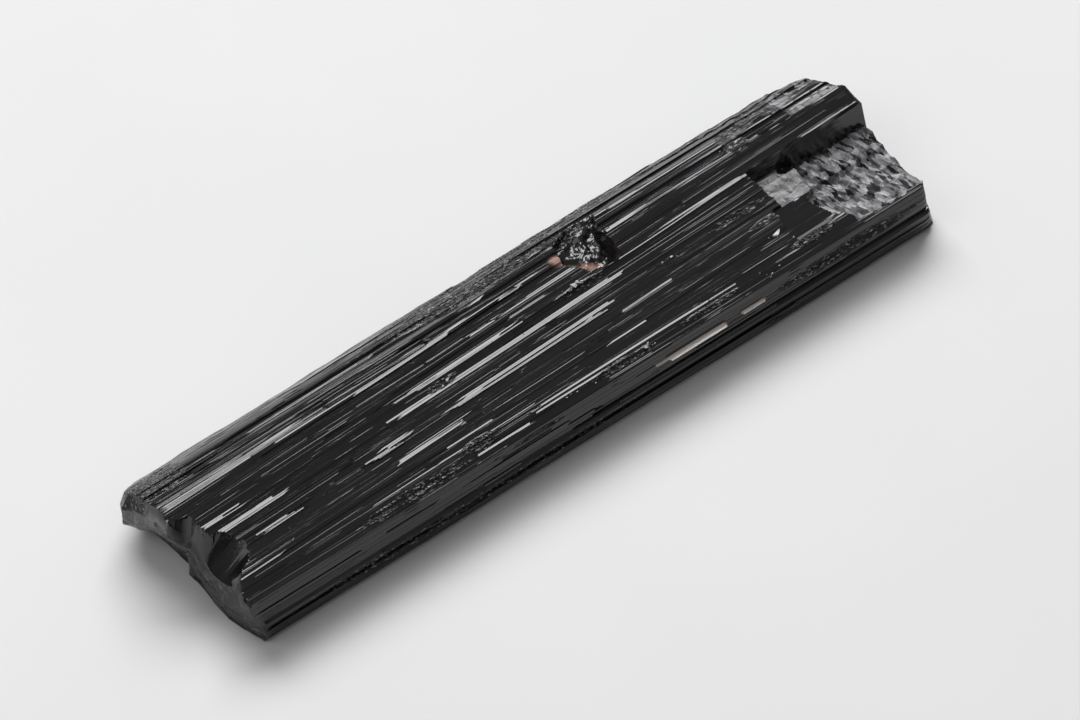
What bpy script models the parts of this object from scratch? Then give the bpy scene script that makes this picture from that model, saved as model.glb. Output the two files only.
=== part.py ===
"""Raw black tourmaline crystal lying on its side: a long striated prism, broken at both ends.

X runs along the prism, the front is -Y, up is +Z, and the crystal rests on Z = 0.
Every size in this file is in millimetres. MM turns them into metres when the mesh is made.
"""

import math
import random
from collections import namedtuple

import bpy
from mathutils import Vector, geometry, noise

MM = 0.001
SEED = 41
NODE_NAME = "crystal"

# Finish of the stone.
STONE_COLOUR = (0.015, 0.015, 0.017, 1.0)
STONE_ROUGHNESS = 0.2
STONE_IOR = 1.64

# Driving dimensions of the whole prism.
LENGTH = 64.9
NEAR_X = -32.8
FAR_X = NEAR_X + LENGTH
CREST_HEIGHT = 6.8
FRONT_Y = -8.2
BACK_Y = 7.85

# The front edge stands out a little more toward the near end.
FRONT_FLARE = 0.1
FLARE_SIDE = (6.5, 8.0)
FLARE_RUN = (4.0, 16.0)

# Relief of the lengthwise ribs.
EDGE_GAP = 0.035
STEP_GAP = 0.07
CORNER_EASE = 0.9
RIB_FADE = (-0.2, 0.9)
CHANCE_LIFT = 0.07
CHANCE_TURN = 3.5
STEADY_WIDTH = 0.45
SHORTEST_STRETCH = 7.0
LONGEST_STRETCH = 24.0
STEP_ZONES = ((-27.5, 3.5), (11.0, 20.0))
STEP_CLEARANCE = 3.0

# The ribs on the upper side run slightly askew, between these girths.
RIB_DRIFT = math.tan(math.radians(1.35))
DRIFT_RISE = (4.7, 8.2)
DRIFT_FALL = (14.0, 19.0)

# A rib is one long narrow face. Its width is along the girth, its turn tips it toward the
# front (minus is toward the back), and its lift moves it out of the section's outline.
Rib = namedtuple("Rib", "width turn lift name", defaults=("",))

# A side of the section: where it starts, as Y and Z, and the ribs on it in order.
Side = namedtuple("Side", "start ribs")

SIDES = (
    # front foot
    Side((-7.9, 0.0), (Rib(0.57, 0, 0),)),
    # front face, with a groove along it
    Side((FRONT_Y, 0.45), (Rib(0.80, 0, 0), Rib(0.50, 0, -0.14), Rib(0.45, -4, 0.02))),
    # upper front face, with the warm ledge in its middle
    Side((-8.15, 2.25), (
        Rib(0.30, -25, 0.06),
        Rib(0.98, 4, 0.0),
        Rib(0.13, 0, 0.0, "warm ledge"),
        Rib(0.98, -4, -0.03),
    )),
    # front shoulder
    Side((-7.55, 4.55), (
        Rib(0.42, 5, 0.0),
        Rib(0.16, -6, 0.0, "shoulder ledge"),
        Rib(0.28, 3, 0.0),
        Rib(0.17, -6, 0.0, "shoulder crest"),
    )),
    # wide front flat
    Side((-6.65, 5.0), (
        Rib(0.42, 9, 0.0),
        Rib(0.20, 6, 0.04),
        Rib(0.70, 10, -0.05),
        Rib(0.16, 5, 0.0, "flat line"),
        Rib(0.45, 8, 0.03),
        Rib(0.48, 8, 0.06),
    )),
    # middle rise
    Side((-4.15, 5.25), (
        Rib(0.48, 1, 0.0, "lower tread"),
        Rib(0.16, 2, 0.05, "thin tread"),
        Rib(0.55, 0, 0.0),
        Rib(0.62, 2, 0.0, "broad tread"),
        Rib(0.64, 9, -0.06),
    )),
    # steep rise in front of the crest
    Side((-1.75, 5.75), (
        Rib(0.50, 4, 0.02),
        Rib(0.40, -6, 0.05, "middle tread"),
        Rib(0.64, 5, -0.10),
        Rib(0.35, -8, 0.05, "bright tread"),
        Rib(0.25, 10, 0.0),
    )),
    # crest
    Side((0.2, 6.5), (
        Rib(0.70, 7, -0.06),
        Rib(0.32, 0, 0.03, "crest tread"),
        Rib(0.30, 6, 0.0),
        Rib(0.22, 2, 0.06),
        Rib(0.25, 9, -0.10),
        Rib(0.33, 3, 0.05, "back tread"),
    )),
    # smooth slope behind the crest
    Side((2.25, CREST_HEIGHT), (
        Rib(1.00, 0, 0.0),
        Rib(0.18, 10, 0.04, "slope line"),
        Rib(0.85, -1, 0.0),
        Rib(0.20, 12, 0.03, "back line"),
    )),
    # back shoulder
    Side((4.4, 5.9), (
        Rib(0.55, 3, 0.0),
        Rib(0.16, 10, 0.05),
        Rib(0.50, 2, 0.0),
        Rib(0.50, -3, 0.0),
    )),
    # back slope
    Side((5.8, 5.0), (Rib(1.10, 3, 0.0), Rib(1.10, -4, 0.05), Rib(1.13, 2, 0.0))),
    # back face and back foot
    Side((BACK_Y, 2.5), (Rib(0.70, 2, 0.0), Rib(0.80, -2, -0.05))),
    Side((7.75, 1.0), (Rib(1.07, 0, 0.0),)),
    # underside: three flats on the ground, with shallow hollows between them
    Side((7.15, 0.0), (
        Rib(1.10, 0, 0.0),
        Rib(1.90, 0, -0.12),
        Rib(2.20, 0, -0.05),
        Rib(2.60, 0, 0.0),
        Rib(2.40, 0, -0.15),
        Rib(1.90, 0, -0.06),
        Rib(1.60, 0, 0.0),
        Rib(1.55, 0, -0.10),
    )),
)
UNDERSIDE = len(SIDES) - 1

# A stretch of a named rib, from start to end along X, that is turned and lifted on its own.
Stretch = namedtuple("Stretch", "name start end turn lift")

STRETCHES = (
    Stretch("warm ledge", 6.6, 7.9, -74, -0.05),
    Stretch("warm ledge", 7.9, 13.2, -74, 0.22),
    Stretch("warm ledge", 14.6, 16.9, -73, 0.06),
    Stretch("shoulder ledge", -9.4, -4.6, -27, 0.02),
    Stretch("shoulder crest", -2.0, 6.4, -28, 0.03),
    Stretch("flat line", -12.5, -8.2, -6, 0.04),
    Stretch("flat line", 2.8, 6.4, -6, 0.05),
    Stretch("lower tread", -15.0, -9.0, -10, 0.06),
    Stretch("thin tread", -5.0, 12.0, -10, 0.06),
    Stretch("broad tread", -26.5, -23.4, -10, 0.08),
    Stretch("broad tread", -16.5, -14.0, -11, 0.08),
    Stretch("broad tread", -9.0, 5.2, -10, 0.05),
    Stretch("middle tread", -29.5, -23.4, -21, 0.06),
    Stretch("middle tread", -12.8, 8.2, -21, 0.02),
    Stretch("bright tread", -31.0, -27.0, -19, 0.08),
    Stretch("bright tread", -11.0, -1.0, -19, 0.04),
    Stretch("crest tread", -4.7, -2.3, -8, 0.04),
    Stretch("crest tread", -1.2, 5.5, -8, 0.05),
    Stretch("back tread", -22.0, 0.5, -9, 0.05),
    Stretch("crest tread", 9.5, 36.0, 6, 0.0),
    Stretch("back tread", 9.5, 36.0, 7, 0.02),
    Stretch("slope line", -4.5, -2.0, 20, 0.05),
    Stretch("back line", 1.0, 3.4, 22, 0.05),
    Stretch("back line", 10.9, 21.2, 22, 0.05),
)

# Uneven lumps on broken surfaces: how wide, how high, and which patch of noise.
Lumps = namedtuple("Lumps", "width height patch")

# Near end, as lines drawn along Y: where the broken face stands, how high its upper rim is,
# and how steeply the dark hollow behind the rim climbs to the ribs.
NEAR_FACE = ((-8.7, -29.9), (-7.6, -30.35), (-6.7, -30.6), (-5.9, -30.75), (-4.7, -31.0),
             (-3.0, -30.95), (-1.6, -30.8), (0.1, -30.75), (0.45, -30.9), (0.8, -32.2),
             (3.8, -32.35), (4.8, -32.5), (5.6, NEAR_X), (6.4, -32.3), (7.2, -31.2),
             (8.3, -29.2))
NEAR_RIM = ((-8.7, 1.8), (-7.7, 3.9), (-5.1, 3.8), (-4.0, 3.4), (-3.0, 3.1), (0.2, 3.0),
            (0.6, 3.6), (0.9, 5.4), (3.2, 5.4), (5.0, 4.2), (6.0, 3.5), (7.3, 3.0), (8.3, 2.0))
NEAR_CLIMB = ((-7.7, 3.0), (-7.0, 6.0), (-6.1, 3.3), (-5.4, 1.8), (-4.7, 0.8), (-4.1, 0.72),
              (-3.3, 0.85), (-2.5, 1.05), (-1.7, 1.8), (-0.4, 8.5), (0.6, 12.0), (1.2, 8.0),
              (2.1, 7.0), (3.2, 4.0), (5.0, 2.4), (8.3, 2.6))
NEAR_LUMPS = Lumps(1.1, 0.35, 3.0)
NEAR_ROUGH_SIDE = (3.0, 3.8)
NEAR_ROUGH_REACH = (1.5, 3.2)

# The ridge and the lobe at the back of the near end overhang the ground. The undercut's top,
# drawn along Y, is higher under the ridge. The front corner stands out a little at its top.
LOBE_SIDE = (0.3, 0.9)
LOBE_UNDERCUT = 2.0
LOBE_UNDERCUT_TOP = ((0.9, 5.7), (2.2, 4.9), (3.5, 4.0), (4.4, 2.7), (5.6, 2.3))
CORNER_SIDE = (5.0, 7.0)
CORNER_RISE = (0.8, 4.0)
CORNER_OVERHANG = 0.85

# Far end: its broken face, whose foot leans out under the front ridge.
FAR_FACE = ((-8.4, 31.3), (-7.0, 32.0), (-5.0, 31.9), (-2.0, 31.8), (0.5, FAR_X), (2.2, 32.0),
            (4.0, 31.4), (5.6, 31.1), (8.3, 31.3))
FAR_LEAN = 0.75
FAR_LEAN_TOP = 4.8
FAR_LEAN_SIDE = (-6.5, -4.0)

# The broken ledge at the far end, between the front shoulder and the back ridge.
LEDGE_WALL_Y = -0.25
LEDGE_WALL_FOOT = 4.3
LEDGE_WALL_SLOPE = 3.0
TREAD_START = 21.4
TREAD_SLANT = 0.18
TREAD_FRONT_Y = -2.95
TREAD_LEVEL = 5.2
TREAD_TILT = 0.07
LOWER_START = 21.0
LOWER_FRONT_Y = -5.5
LOWER_FRONT_LEVEL = 4.6
LOWER_TILT = 0.25
LOWER_FRONT_SLOPE = 0.8
STEP_SLOPE = 6.0
HOLE_CENTRE = (24.4, -0.2)
HOLE_REACH = (0.7, 0.42)
HOLE_DEPTH = 0.6

# The rough fracture beyond the ledge. Its start is a line drawn along Y, and a low step
# along it divides it in two.
FRACTURE_START = ((-6.6, 25.8), (-5.5, 24.9), (-4.4, 24.4), (-3.3, 23.9), (-2.8, 24.9),
                  (-0.4, 24.9))
FRACTURE_X = 23.9
FRACTURE_LEVEL = 4.15
FRACTURE_FALL = 0.035
FRACTURE_STEP = 0.45
FRACTURE_STEP_SIDE = (-2.75, -2.4)
FRACTURE_FRONT_Y = -6.6
FRACTURE_FRONT_SLOPE = 1.4
FRACTURE_SKEW = 0.6
FRACTURE_LUMPS = Lumps(1.3, 0.28, 7.0)

# Back ridge near the far end: chipped lower, then a flat broken plateau.
CHIP_RUN = (21.3, 21.8)
CHIP_SIDE = (3.4, 4.3)
CHIP_DEPTH = 0.06
CHIP_LUMPS = Lumps(1.7, 1.5, 17.0)
CHIP_HEIGHT = (0.6, 2.0)
CHIP_INWARD = Vector((0.6, 0.8))
NOTCH_RUN = (29.0, 29.5)
NOTCH_SIDE = (6.0, 7.0)
NOTCH_DEPTH = 0.25
PLATEAU_START = 27.1
PLATEAU_SIDE = (1.9, 2.5)
PLATEAU_LEVEL = 6.4
PLATEAU_TILT = 0.12
PLATEAU_SLOPE = 3.0
PLATEAU_LUMPS = Lumps(1.0, 0.04, 13.0)

# Pit in the crest. Its near and far edges are lines drawn along Y. The near side is a
# slanting slope in front and a steep wall behind; the far side is a broken rib end.
PIT_NEAR = ((-0.1, 8.0), (0.3, 6.6), (1.4, 5.5), (1.8, 5.1), (4.0, 5.8), (5.5, 8.6))
PIT_NEAR_CLIMB = ((0.3, 1.4), (1.4, 1.6), (2.0, 5.0))
PIT_FAR = ((-0.1, 9.3), (1.8, 9.3), (3.4, 9.5), (5.3, 10.7))
PIT_FRONT_Y = -0.1
PIT_FRONT_CLIMB = 4.0
PIT_RIM = 6.6
PIT_FLOOR = 4.6
PIT_TILT = 0.16
PIT_LUMPS = Lumps(1.0, 0.2, 11.0)

# Where a broken surface cuts the ribs away, this much of their height stays on it.
KEEP = 0.05
FACE_FIT = 8.0
OPEN_HEIGHT = 50.0

# Inner corners of the end faces.
END_SPACING = 1.1
END_LUMPS = Lumps(2.0, 0.22, 19.0)

# Rows of corners along the prism, closer together where something is broken.
NEAR_ROWS = (0.0, 0.5, 1.0, 1.6, 2.3, 3.2, 4.4)
PIT_ROWS = (4.3, 4.95, 5.25, 5.7, 6.3, 7.0, 7.8, 8.6, 9.15, 9.4, 10.1, 10.8)
LEDGE_ROWS = (20.4, 20.7, 21.2, 21.5, 22.4, 23.5, 24.1, 24.7)
MIDDLE_SPACING = 2.1
FAR_SPACING = 0.72


def blend(line, place):
    """Read a hand-drawn line, given as (place, value) points, at one place."""
    first = line[0]
    if place <= first[0]:
        return first[1]
    for second in line[1:]:
        if place <= second[0]:
            share = (place - first[0]) / (second[0] - first[0])
            return first[1] + share * (second[1] - first[1])
        first = second
    return first[1]


def smooth(value, span):
    """Ease from 0 at the start of a span to 1 at its end."""
    share = min(max((value - span[0]) / (span[1] - span[0]), 0.0), 1.0)
    return share * share * (3.0 - 2.0 * share)


def lump_height(x, y, lumps):
    """Height of a broken surface's lumps, from coarse noise with finer noise on it."""
    place = Vector((x / lumps.width, y / lumps.width, lumps.patch))
    return lumps.height * (1.5 * noise.noise(place) + 0.6 * noise.noise(2.3 * place))


class Outline:
    """The closed section, followed by girth: the distance round it from the front foot."""

    def __init__(self, sides):
        self.corners = [Vector(side.start) for side in sides]
        self.corners.append(self.corners[0])
        self.girths = [0.0]
        for first, second in zip(self.corners, self.corners[1:]):
            self.girths.append(self.girths[-1] + (second - first).length)
        self.total = self.girths[-1]

    def point(self, girth):
        girth %= self.total
        side = 0
        while girth > self.girths[side + 1]:
            side += 1
        share = (girth - self.girths[side]) / (self.girths[side + 1] - self.girths[side])
        return self.corners[side].lerp(self.corners[side + 1], share)

    def outward(self, girth):
        """The outward direction, eased round the corners so that ribs never cross there."""
        along = (self.point(girth + CORNER_EASE) - self.point(girth - CORNER_EASE)).normalized()
        return Vector((-along.y, along.x))


class Column:
    """One rib in place: its girth range and the lifts of its two edges along the prism."""

    def __init__(self, start, end, lifts, underside):
        self.start = start
        self.end = end
        self.lifts = lifts
        self.underside = underside

    def girth(self, share, x):
        """The girth of the rib's front edge (share 0) or back edge (share 1)."""
        girth = self.start + EDGE_GAP + share * (self.end - self.start - 2.0 * EDGE_GAP)
        return girth + RIB_DRIFT * smooth(girth, DRIFT_RISE) * (1.0 - smooth(girth, DRIFT_FALL)) * x

    def lift(self, share, x):
        front, back = next((front, back) for end, front, back in self.lifts if x <= end)
        return front + share * (back - front)

    def steps(self):
        """Places where the rib steps up or down, away from the broken places."""
        ends = [end for end, front, back in self.lifts[:-1]]
        return [end for end in ends if in_step_zone(end)]


def in_step_zone(x):
    return any(low <= x <= high for low, high in STEP_ZONES)


def edge_lifts(width, turn, lift):
    """Lifts of a rib's front and back edges when the rib is turned about its middle."""
    half_rise = 0.5 * width * math.tan(math.radians(turn))
    return lift - half_rise, lift + half_rise


def chance_steps(rng):
    """Places along the prism where a rib may step up or down."""
    steps = []
    place = NEAR_X + rng.uniform(0.4 * SHORTEST_STRETCH, LONGEST_STRETCH)
    while place < FAR_X:
        if in_step_zone(place):
            steps.append(place)
        place += rng.uniform(SHORTEST_STRETCH, LONGEST_STRETCH)
    return steps


def rib_lifts(rib, rng):
    """The stretches of one rib, as (end, front edge lift, back edge lift)."""
    own = [stretch for stretch in STRETCHES if stretch.name == rib.name]
    ends = {FAR_X + LENGTH}
    for stretch in own:
        ends |= {stretch.start, stretch.end}
    for place in chance_steps(rng):
        clear = STEP_CLEARANCE
        if not any(stretch.start - clear < place < stretch.end + clear for stretch in own):
            ends.add(place)
    turn_range = CHANCE_TURN * min(1.0, STEADY_WIDTH / rib.width)
    lifts = []
    begin = NEAR_X
    for end in sorted(ends):
        turn = rib.turn + rng.uniform(-turn_range, turn_range)
        lift = rib.lift + rng.uniform(-CHANCE_LIFT, CHANCE_LIFT)
        for stretch in own:
            if stretch.start <= 0.5 * (begin + end) <= stretch.end:
                turn, lift = stretch.turn, stretch.lift
        lifts.append((end,) + edge_lifts(rib.width, turn, lift))
        begin = end
    return lifts


def make_columns(outline, rng):
    """Set every rib in place, with each side's widths scaled to fill that side."""
    columns = []
    for index, side in enumerate(SIDES):
        girth = outline.girths[index]
        room = outline.girths[index + 1] - girth
        scale = room / sum(rib.width for rib in side.ribs)
        for rib in side.ribs:
            width = rib.width * scale
            if index == UNDERSIDE:
                lifts = [(FAR_X + LENGTH, rib.lift, rib.lift)]
            else:
                lifts = rib_lifts(rib, rng)
            columns.append(Column(girth, girth + width, lifts, index == UNDERSIDE))
            girth += width
    return columns


def spaced(low, high, spacing):
    """Even places from low to high, both included."""
    gaps = max(1, round((high - low) / spacing))
    return [low + (high - low) * index / gaps for index in range(gaps + 1)]


def base_rows():
    """Places along the prism where the skin has a row of corners, before ribs shift them."""
    rows = [NEAR_X + place for place in NEAR_ROWS]
    rows += spaced(rows[-1], PIT_ROWS[0], MIDDLE_SPACING)[1:-1]
    rows += PIT_ROWS
    rows += spaced(PIT_ROWS[-1], LEDGE_ROWS[0], MIDDLE_SPACING)[1:-1]
    rows += LEDGE_ROWS
    rows += spaced(LEDGE_ROWS[-1], FAR_X, FAR_SPACING)[1:]
    return rows


def column_rows(column, rows):
    """Move two neighbouring rows of a rib close together wherever the rib has a step."""
    moved = list(rows)
    taken = set()
    for place in column.steps():
        index = min(range(len(rows) - 1), key=lambda i: abs(rows[i] + rows[i + 1] - 2.0 * place))
        if not taken & {index - 1, index, index + 1}:
            taken.add(index)
            moved[index] = place - STEP_GAP
            moved[index + 1] = place + STEP_GAP
    return moved


def near_face_x(y, z):
    """Where the near end's broken face stands."""
    low = 1.0 - smooth(z, (0.0, blend(LOBE_UNDERCUT_TOP, y)))
    undercut = LOBE_UNDERCUT * smooth(y, LOBE_SIDE) * low
    overhang = CORNER_OVERHANG * smooth(-y, CORNER_SIDE) * smooth(z, CORNER_RISE)
    return blend(NEAR_FACE, y) + undercut - overhang


def far_face_x(y, z):
    """Where the far end's broken face stands."""
    lean = FAR_LEAN * (1.0 - min(z / FAR_LEAN_TOP, 1.0))
    return blend(FAR_FACE, y) + lean * (1.0 - smooth(y, FAR_LEAN_SIDE))


def near_ceiling(ahead, y):
    """The dark hollow cut across the near end, and the rough top of its back lobe."""
    rough = smooth(y, NEAR_ROUGH_SIDE) * (1.0 - smooth(ahead, NEAR_ROUGH_REACH))
    level = blend(NEAR_RIM, y) + blend(NEAR_CLIMB, y) * ahead
    return level + rough * lump_height(ahead, y, NEAR_LUMPS)


def fracture_level(x, y):
    """The rough fracture, which steps down along its middle and climbs to the front shoulder."""
    level = FRACTURE_LEVEL - FRACTURE_FALL * (x - FRACTURE_X)
    level += FRACTURE_STEP * smooth(y, FRACTURE_STEP_SIDE)
    level += STEP_SLOPE * max(blend(FRACTURE_START, y) - x, 0.0)
    level += FRACTURE_FRONT_SLOPE * max(FRACTURE_FRONT_Y - y, 0.0)
    return level + lump_height(x + FRACTURE_SKEW * y, FRACTURE_SKEW * y, FRACTURE_LUMPS)


def ledge_ceiling(x, y):
    """The broken ledge at the far end: a smooth tread, a lower dark step, then the fracture."""
    tread = TREAD_LEVEL + TREAD_TILT * y + STEP_SLOPE * max(TREAD_START - TREAD_SLANT * y - x, 0.0)
    tread += STEP_SLOPE * max(TREAD_FRONT_Y - y, 0.0)
    lower = LOWER_FRONT_LEVEL + LOWER_TILT * max(y - LOWER_FRONT_Y, 0.0)
    lower += LOWER_FRONT_SLOPE * max(LOWER_FRONT_Y - y, 0.0)
    lower += STEP_SLOPE * (max(LOWER_START - x, 0.0) + max(y - TREAD_FRONT_Y, 0.0))
    wall = LEDGE_WALL_FOOT + LEDGE_WALL_SLOPE * (y - LEDGE_WALL_Y)
    away = math.hypot((x - HOLE_CENTRE[0]) / HOLE_REACH[0], (y - HOLE_CENTRE[1]) / HOLE_REACH[1])
    hole = TREAD_LEVEL - HOLE_DEPTH + STEP_SLOPE * max(away - 1.0, 0.0)
    return min(max(min(tread, lower, fracture_level(x, y)), wall), hole)


def pit_ceiling(x, y):
    """The pit broken into the crest."""
    floor = PIT_FLOOR + PIT_TILT * y
    near = PIT_RIM - blend(PIT_NEAR_CLIMB, y) * (x - blend(PIT_NEAR, y))
    far = PIT_RIM + STEP_SLOPE * (x - blend(PIT_FAR, y))
    front = PIT_RIM - PIT_FRONT_CLIMB * (y - PIT_FRONT_Y)
    return max(floor, near, far, front) + lump_height(x, y, PIT_LUMPS)


def plateau_ceiling(x, y):
    """The flattened top of the back ridge beside the far end."""
    level = PLATEAU_LEVEL - PLATEAU_TILT * (y - PLATEAU_SIDE[1])
    level += PLATEAU_SLOPE * max(PLATEAU_START - x, 0.0)
    level += OPEN_HEIGHT * (1.0 - smooth(y, PLATEAU_SIDE))
    return level + lump_height(x, y, PLATEAU_LUMPS)


def chip_depth(x, y):
    """How far the back of the prism is chipped away toward the far end."""
    chipped = CHIP_DEPTH * smooth(x, CHIP_RUN) * smooth(y, CHIP_SIDE)
    notched = NOTCH_DEPTH * smooth(x, NOTCH_RUN) * smooth(y, NOTCH_SIDE)
    return chipped * (1.0 + lump_height(x, y, CHIP_LUMPS)) + notched


def squash(height, ceiling):
    """Bring a height down to a ceiling, keeping a little of it so that corners stay apart."""
    return height if height <= ceiling else ceiling + KEEP * (height - ceiling)


def carve(x, ahead, place):
    """Cut the broken places into one place of the section, which is ahead of the near face."""
    y, z = place - CHIP_INWARD * chip_depth(x, place.x) * smooth(place.y, CHIP_HEIGHT)
    y -= FRONT_FLARE * smooth(-y, FLARE_SIDE) * smooth(-x, FLARE_RUN)
    z = squash(z, near_ceiling(ahead, y))
    for ceiling in (ledge_ceiling, pit_ceiling, plateau_ceiling):
        z = squash(z, ceiling(x, y))
    return Vector((y, max(z, 0.0)))


def fitted_x(x, base):
    """Slide a row so that the first and last rows lie on the broken end faces."""
    near_share = 1.0 - smooth(x, (NEAR_X, NEAR_X + FACE_FIT))
    far_share = smooth(x, (FAR_X - FACE_FIT, FAR_X))
    near_shift = near_face_x(base.x, base.y) - NEAR_X
    far_shift = far_face_x(base.x, base.y) - FAR_X
    return x + near_share * near_shift + far_share * far_shift


def skin_place(outline, column, share, x, ahead):
    """The place in the section of a rib's front edge (share 0) or back edge (share 1)."""
    girth = column.girth(share, x)
    lift = column.lift(share, x)
    if column.underside:
        return outline.point(girth) - Vector((0.0, lift))
    lift *= smooth(ahead, RIB_FADE)
    return carve(x, ahead, outline.point(girth) + lift * outline.outward(girth))


def skin_line(outline, column, share, rows):
    """One edge of a rib, from the near end to the far end."""
    line = []
    for row in rows:
        x = fitted_x(row, outline.point(column.girth(share, row)))
        ahead = x - line[0].x if line else 0.0
        place = skin_place(outline, column, share, x, ahead)
        line.append(Vector((x, place.x, place.y)))
    return line


def skin_rows(outline, columns):
    """Every ring of corners round the prism, from the near end to the far end."""
    rows = base_rows()
    lines = []
    for column in columns:
        own_rows = column_rows(column, rows)
        lines += [skin_line(outline, column, share, own_rows) for share in (0.0, 1.0)]
    return [list(ring) for ring in zip(*lines)]


def skin_faces(rings):
    """Triangles between neighbouring rings."""
    around = len(rings[0])
    faces = []
    for start in range(0, (len(rings) - 1) * around, around):
        for line in range(around):
            near_a, near_b = start + line, start + (line + 1) % around
            faces.append((near_a, near_a + around, near_b + around))
            faces.append((near_a, near_b + around, near_b))
    return faces


def is_inside(place, ring):
    """Whether a place is inside a ring, by counting how often the ring passes beside it."""
    crossings = 0
    for first, second in zip(ring, ring[1:] + ring[:1]):
        if (first.y > place.y) != (second.y > place.y):
            share = (place.y - first.y) / (second.y - first.y)
            if first.x + share * (second.x - first.x) > place.x:
                crossings += 1
    return crossings % 2 == 1


def inner_places(ring):
    """Evenly spaced places inside a ring, kept clear of the ring itself."""
    places = []
    for y in spaced(min(place.x for place in ring), max(place.x for place in ring), END_SPACING):
        for z in spaced(END_SPACING, CREST_HEIGHT, END_SPACING):
            place = Vector((y, z))
            clearance = min((place - corner).length for corner in ring)
            if clearance > 0.5 * END_SPACING and is_inside(place, ring):
                places.append(place)
    return places


def end_face(ring, face_x, outward):
    """Close one end: its new inner points, and its triangles as indices into ring plus inner."""
    flat_ring = [Vector((corner.y, corner.z)) for corner in ring]
    inner = inner_places(flat_ring)
    loop = [tuple(range(len(ring)))]
    result = geometry.delaunay_2d_cdt(flat_ring + inner, [], loop, 1, 1e-6)
    faces, origins = result[2], result[3]
    added = []
    for place in inner:
        dent = abs(lump_height(place.x, place.y, END_LUMPS))
        added.append(Vector((face_x(place.x, place.y) - outward * dent, place.x, place.y)))
    triangles = []
    for face in faces:
        corners = [origins[corner][0] for corner in face]
        triangles.append(corners if outward > 0 else corners[::-1])
    return added, triangles


def close_end(vertices, faces, ring, ring_start, face_x, outward):
    """Add one end face to the whole crystal's vertices and faces."""
    added, triangles = end_face(ring, face_x, outward)
    around = len(ring)
    inner_start = len(vertices) - around
    for triangle in triangles:
        faces.append([ring_start + i if i < around else inner_start + i for i in triangle])
    vertices += added


def build_crystal():
    outline = Outline(SIDES)
    rings = skin_rows(outline, make_columns(outline, random.Random(SEED)))
    vertices = [corner for ring in rings for corner in ring]
    faces = skin_faces(rings)
    last_start = len(vertices) - len(rings[-1])
    close_end(vertices, faces, rings[0], 0, near_face_x, -1)
    close_end(vertices, faces, rings[-1], last_start, far_face_x, 1)
    return vertices, faces


def centred(vertices):
    """Move the crystal so that the middle of its box's base is the origin, and use metres."""
    lows = [min(corner[axis] for corner in vertices) for axis in range(3)]
    highs = [max(corner[axis] for corner in vertices) for axis in range(3)]
    middle = Vector(((lows[0] + highs[0]) / 2, (lows[1] + highs[1]) / 2, lows[2]))
    return [(corner - middle) * MM for corner in vertices]


def stone_material():
    """Black glassy tourmaline."""
    material = bpy.data.materials.new("tourmaline")
    material.use_nodes = True
    surface = material.node_tree.nodes["Principled BSDF"]
    surface.inputs["Base Color"].default_value = STONE_COLOUR
    surface.inputs["Roughness"].default_value = STONE_ROUGHNESS
    surface.inputs["Metallic"].default_value = 0.0
    surface.inputs["IOR"].default_value = STONE_IOR
    return material


def add_object(name, vertices, faces, material):
    mesh = bpy.data.meshes.new(name)
    mesh.from_pydata(vertices, [], faces)
    mesh.update()
    mesh.materials.append(material)
    bpy.context.scene.collection.objects.link(bpy.data.objects.new(name, mesh))


def main():
    for old in list(bpy.data.objects):
        bpy.data.objects.remove(old)
    vertices, faces = build_crystal()
    add_object(NODE_NAME, centred(vertices), faces, stone_material())


main()
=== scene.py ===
"""Raw black tourmaline crystal lying on a pale table in soft studio light.

Lengths in the tables below are in millimetres. MM turns them into metres.
X runs along the prism, the front is -Y, up is +Z.
"""

import math
import random
from collections import namedtuple

import bmesh
import bpy
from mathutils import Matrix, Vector, bvhtree, geometry, noise


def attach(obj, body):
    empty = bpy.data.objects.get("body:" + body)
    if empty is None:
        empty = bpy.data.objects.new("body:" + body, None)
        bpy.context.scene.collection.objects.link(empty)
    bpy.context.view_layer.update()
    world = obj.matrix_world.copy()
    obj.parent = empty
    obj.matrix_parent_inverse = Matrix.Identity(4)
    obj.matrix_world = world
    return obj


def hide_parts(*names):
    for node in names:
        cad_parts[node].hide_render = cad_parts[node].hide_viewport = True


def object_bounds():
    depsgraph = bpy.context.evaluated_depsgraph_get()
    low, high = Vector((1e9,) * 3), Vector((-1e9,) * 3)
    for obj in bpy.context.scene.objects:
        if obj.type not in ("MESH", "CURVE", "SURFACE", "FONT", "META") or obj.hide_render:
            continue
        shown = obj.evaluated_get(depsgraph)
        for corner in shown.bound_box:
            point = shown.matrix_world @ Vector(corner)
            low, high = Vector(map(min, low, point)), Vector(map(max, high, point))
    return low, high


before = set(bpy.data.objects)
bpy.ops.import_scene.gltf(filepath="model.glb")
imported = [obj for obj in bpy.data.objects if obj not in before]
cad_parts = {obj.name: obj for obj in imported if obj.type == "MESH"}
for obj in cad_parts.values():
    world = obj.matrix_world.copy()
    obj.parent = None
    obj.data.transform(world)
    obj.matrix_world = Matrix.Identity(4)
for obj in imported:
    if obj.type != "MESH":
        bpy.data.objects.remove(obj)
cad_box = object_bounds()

MM = 0.001
SEED = 41

# Driving dimensions of the whole prism.
LENGTH = 64.9
NEAR_X = -32.8
FAR_X = NEAR_X + LENGTH
CREST_HEIGHT = 6.8
FRONT_Y = -8.2
BACK_Y = 7.85

# The front edge stands out a little more toward the near end.
FRONT_FLARE = 0.1
FLARE_SIDE = (6.5, 8.0)
FLARE_RUN = (4.0, 16.0)

# Relief of the lengthwise ribs.
CORNER_EASE = 0.9
RIB_FADE = (-0.2, 0.9)
CHANCE_LIFT = 0.07
CHANCE_TURN = 3.5
STEADY_WIDTH = 0.45
SHORTEST_STRETCH = 7.0
LONGEST_STRETCH = 24.0
FIRST_STRETCH = 0.4 * SHORTEST_STRETCH
STEP_ZONES = ((-27.5, 3.5), (11.0, 20.0))
STEP_CLEARANCE = 3.0

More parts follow.
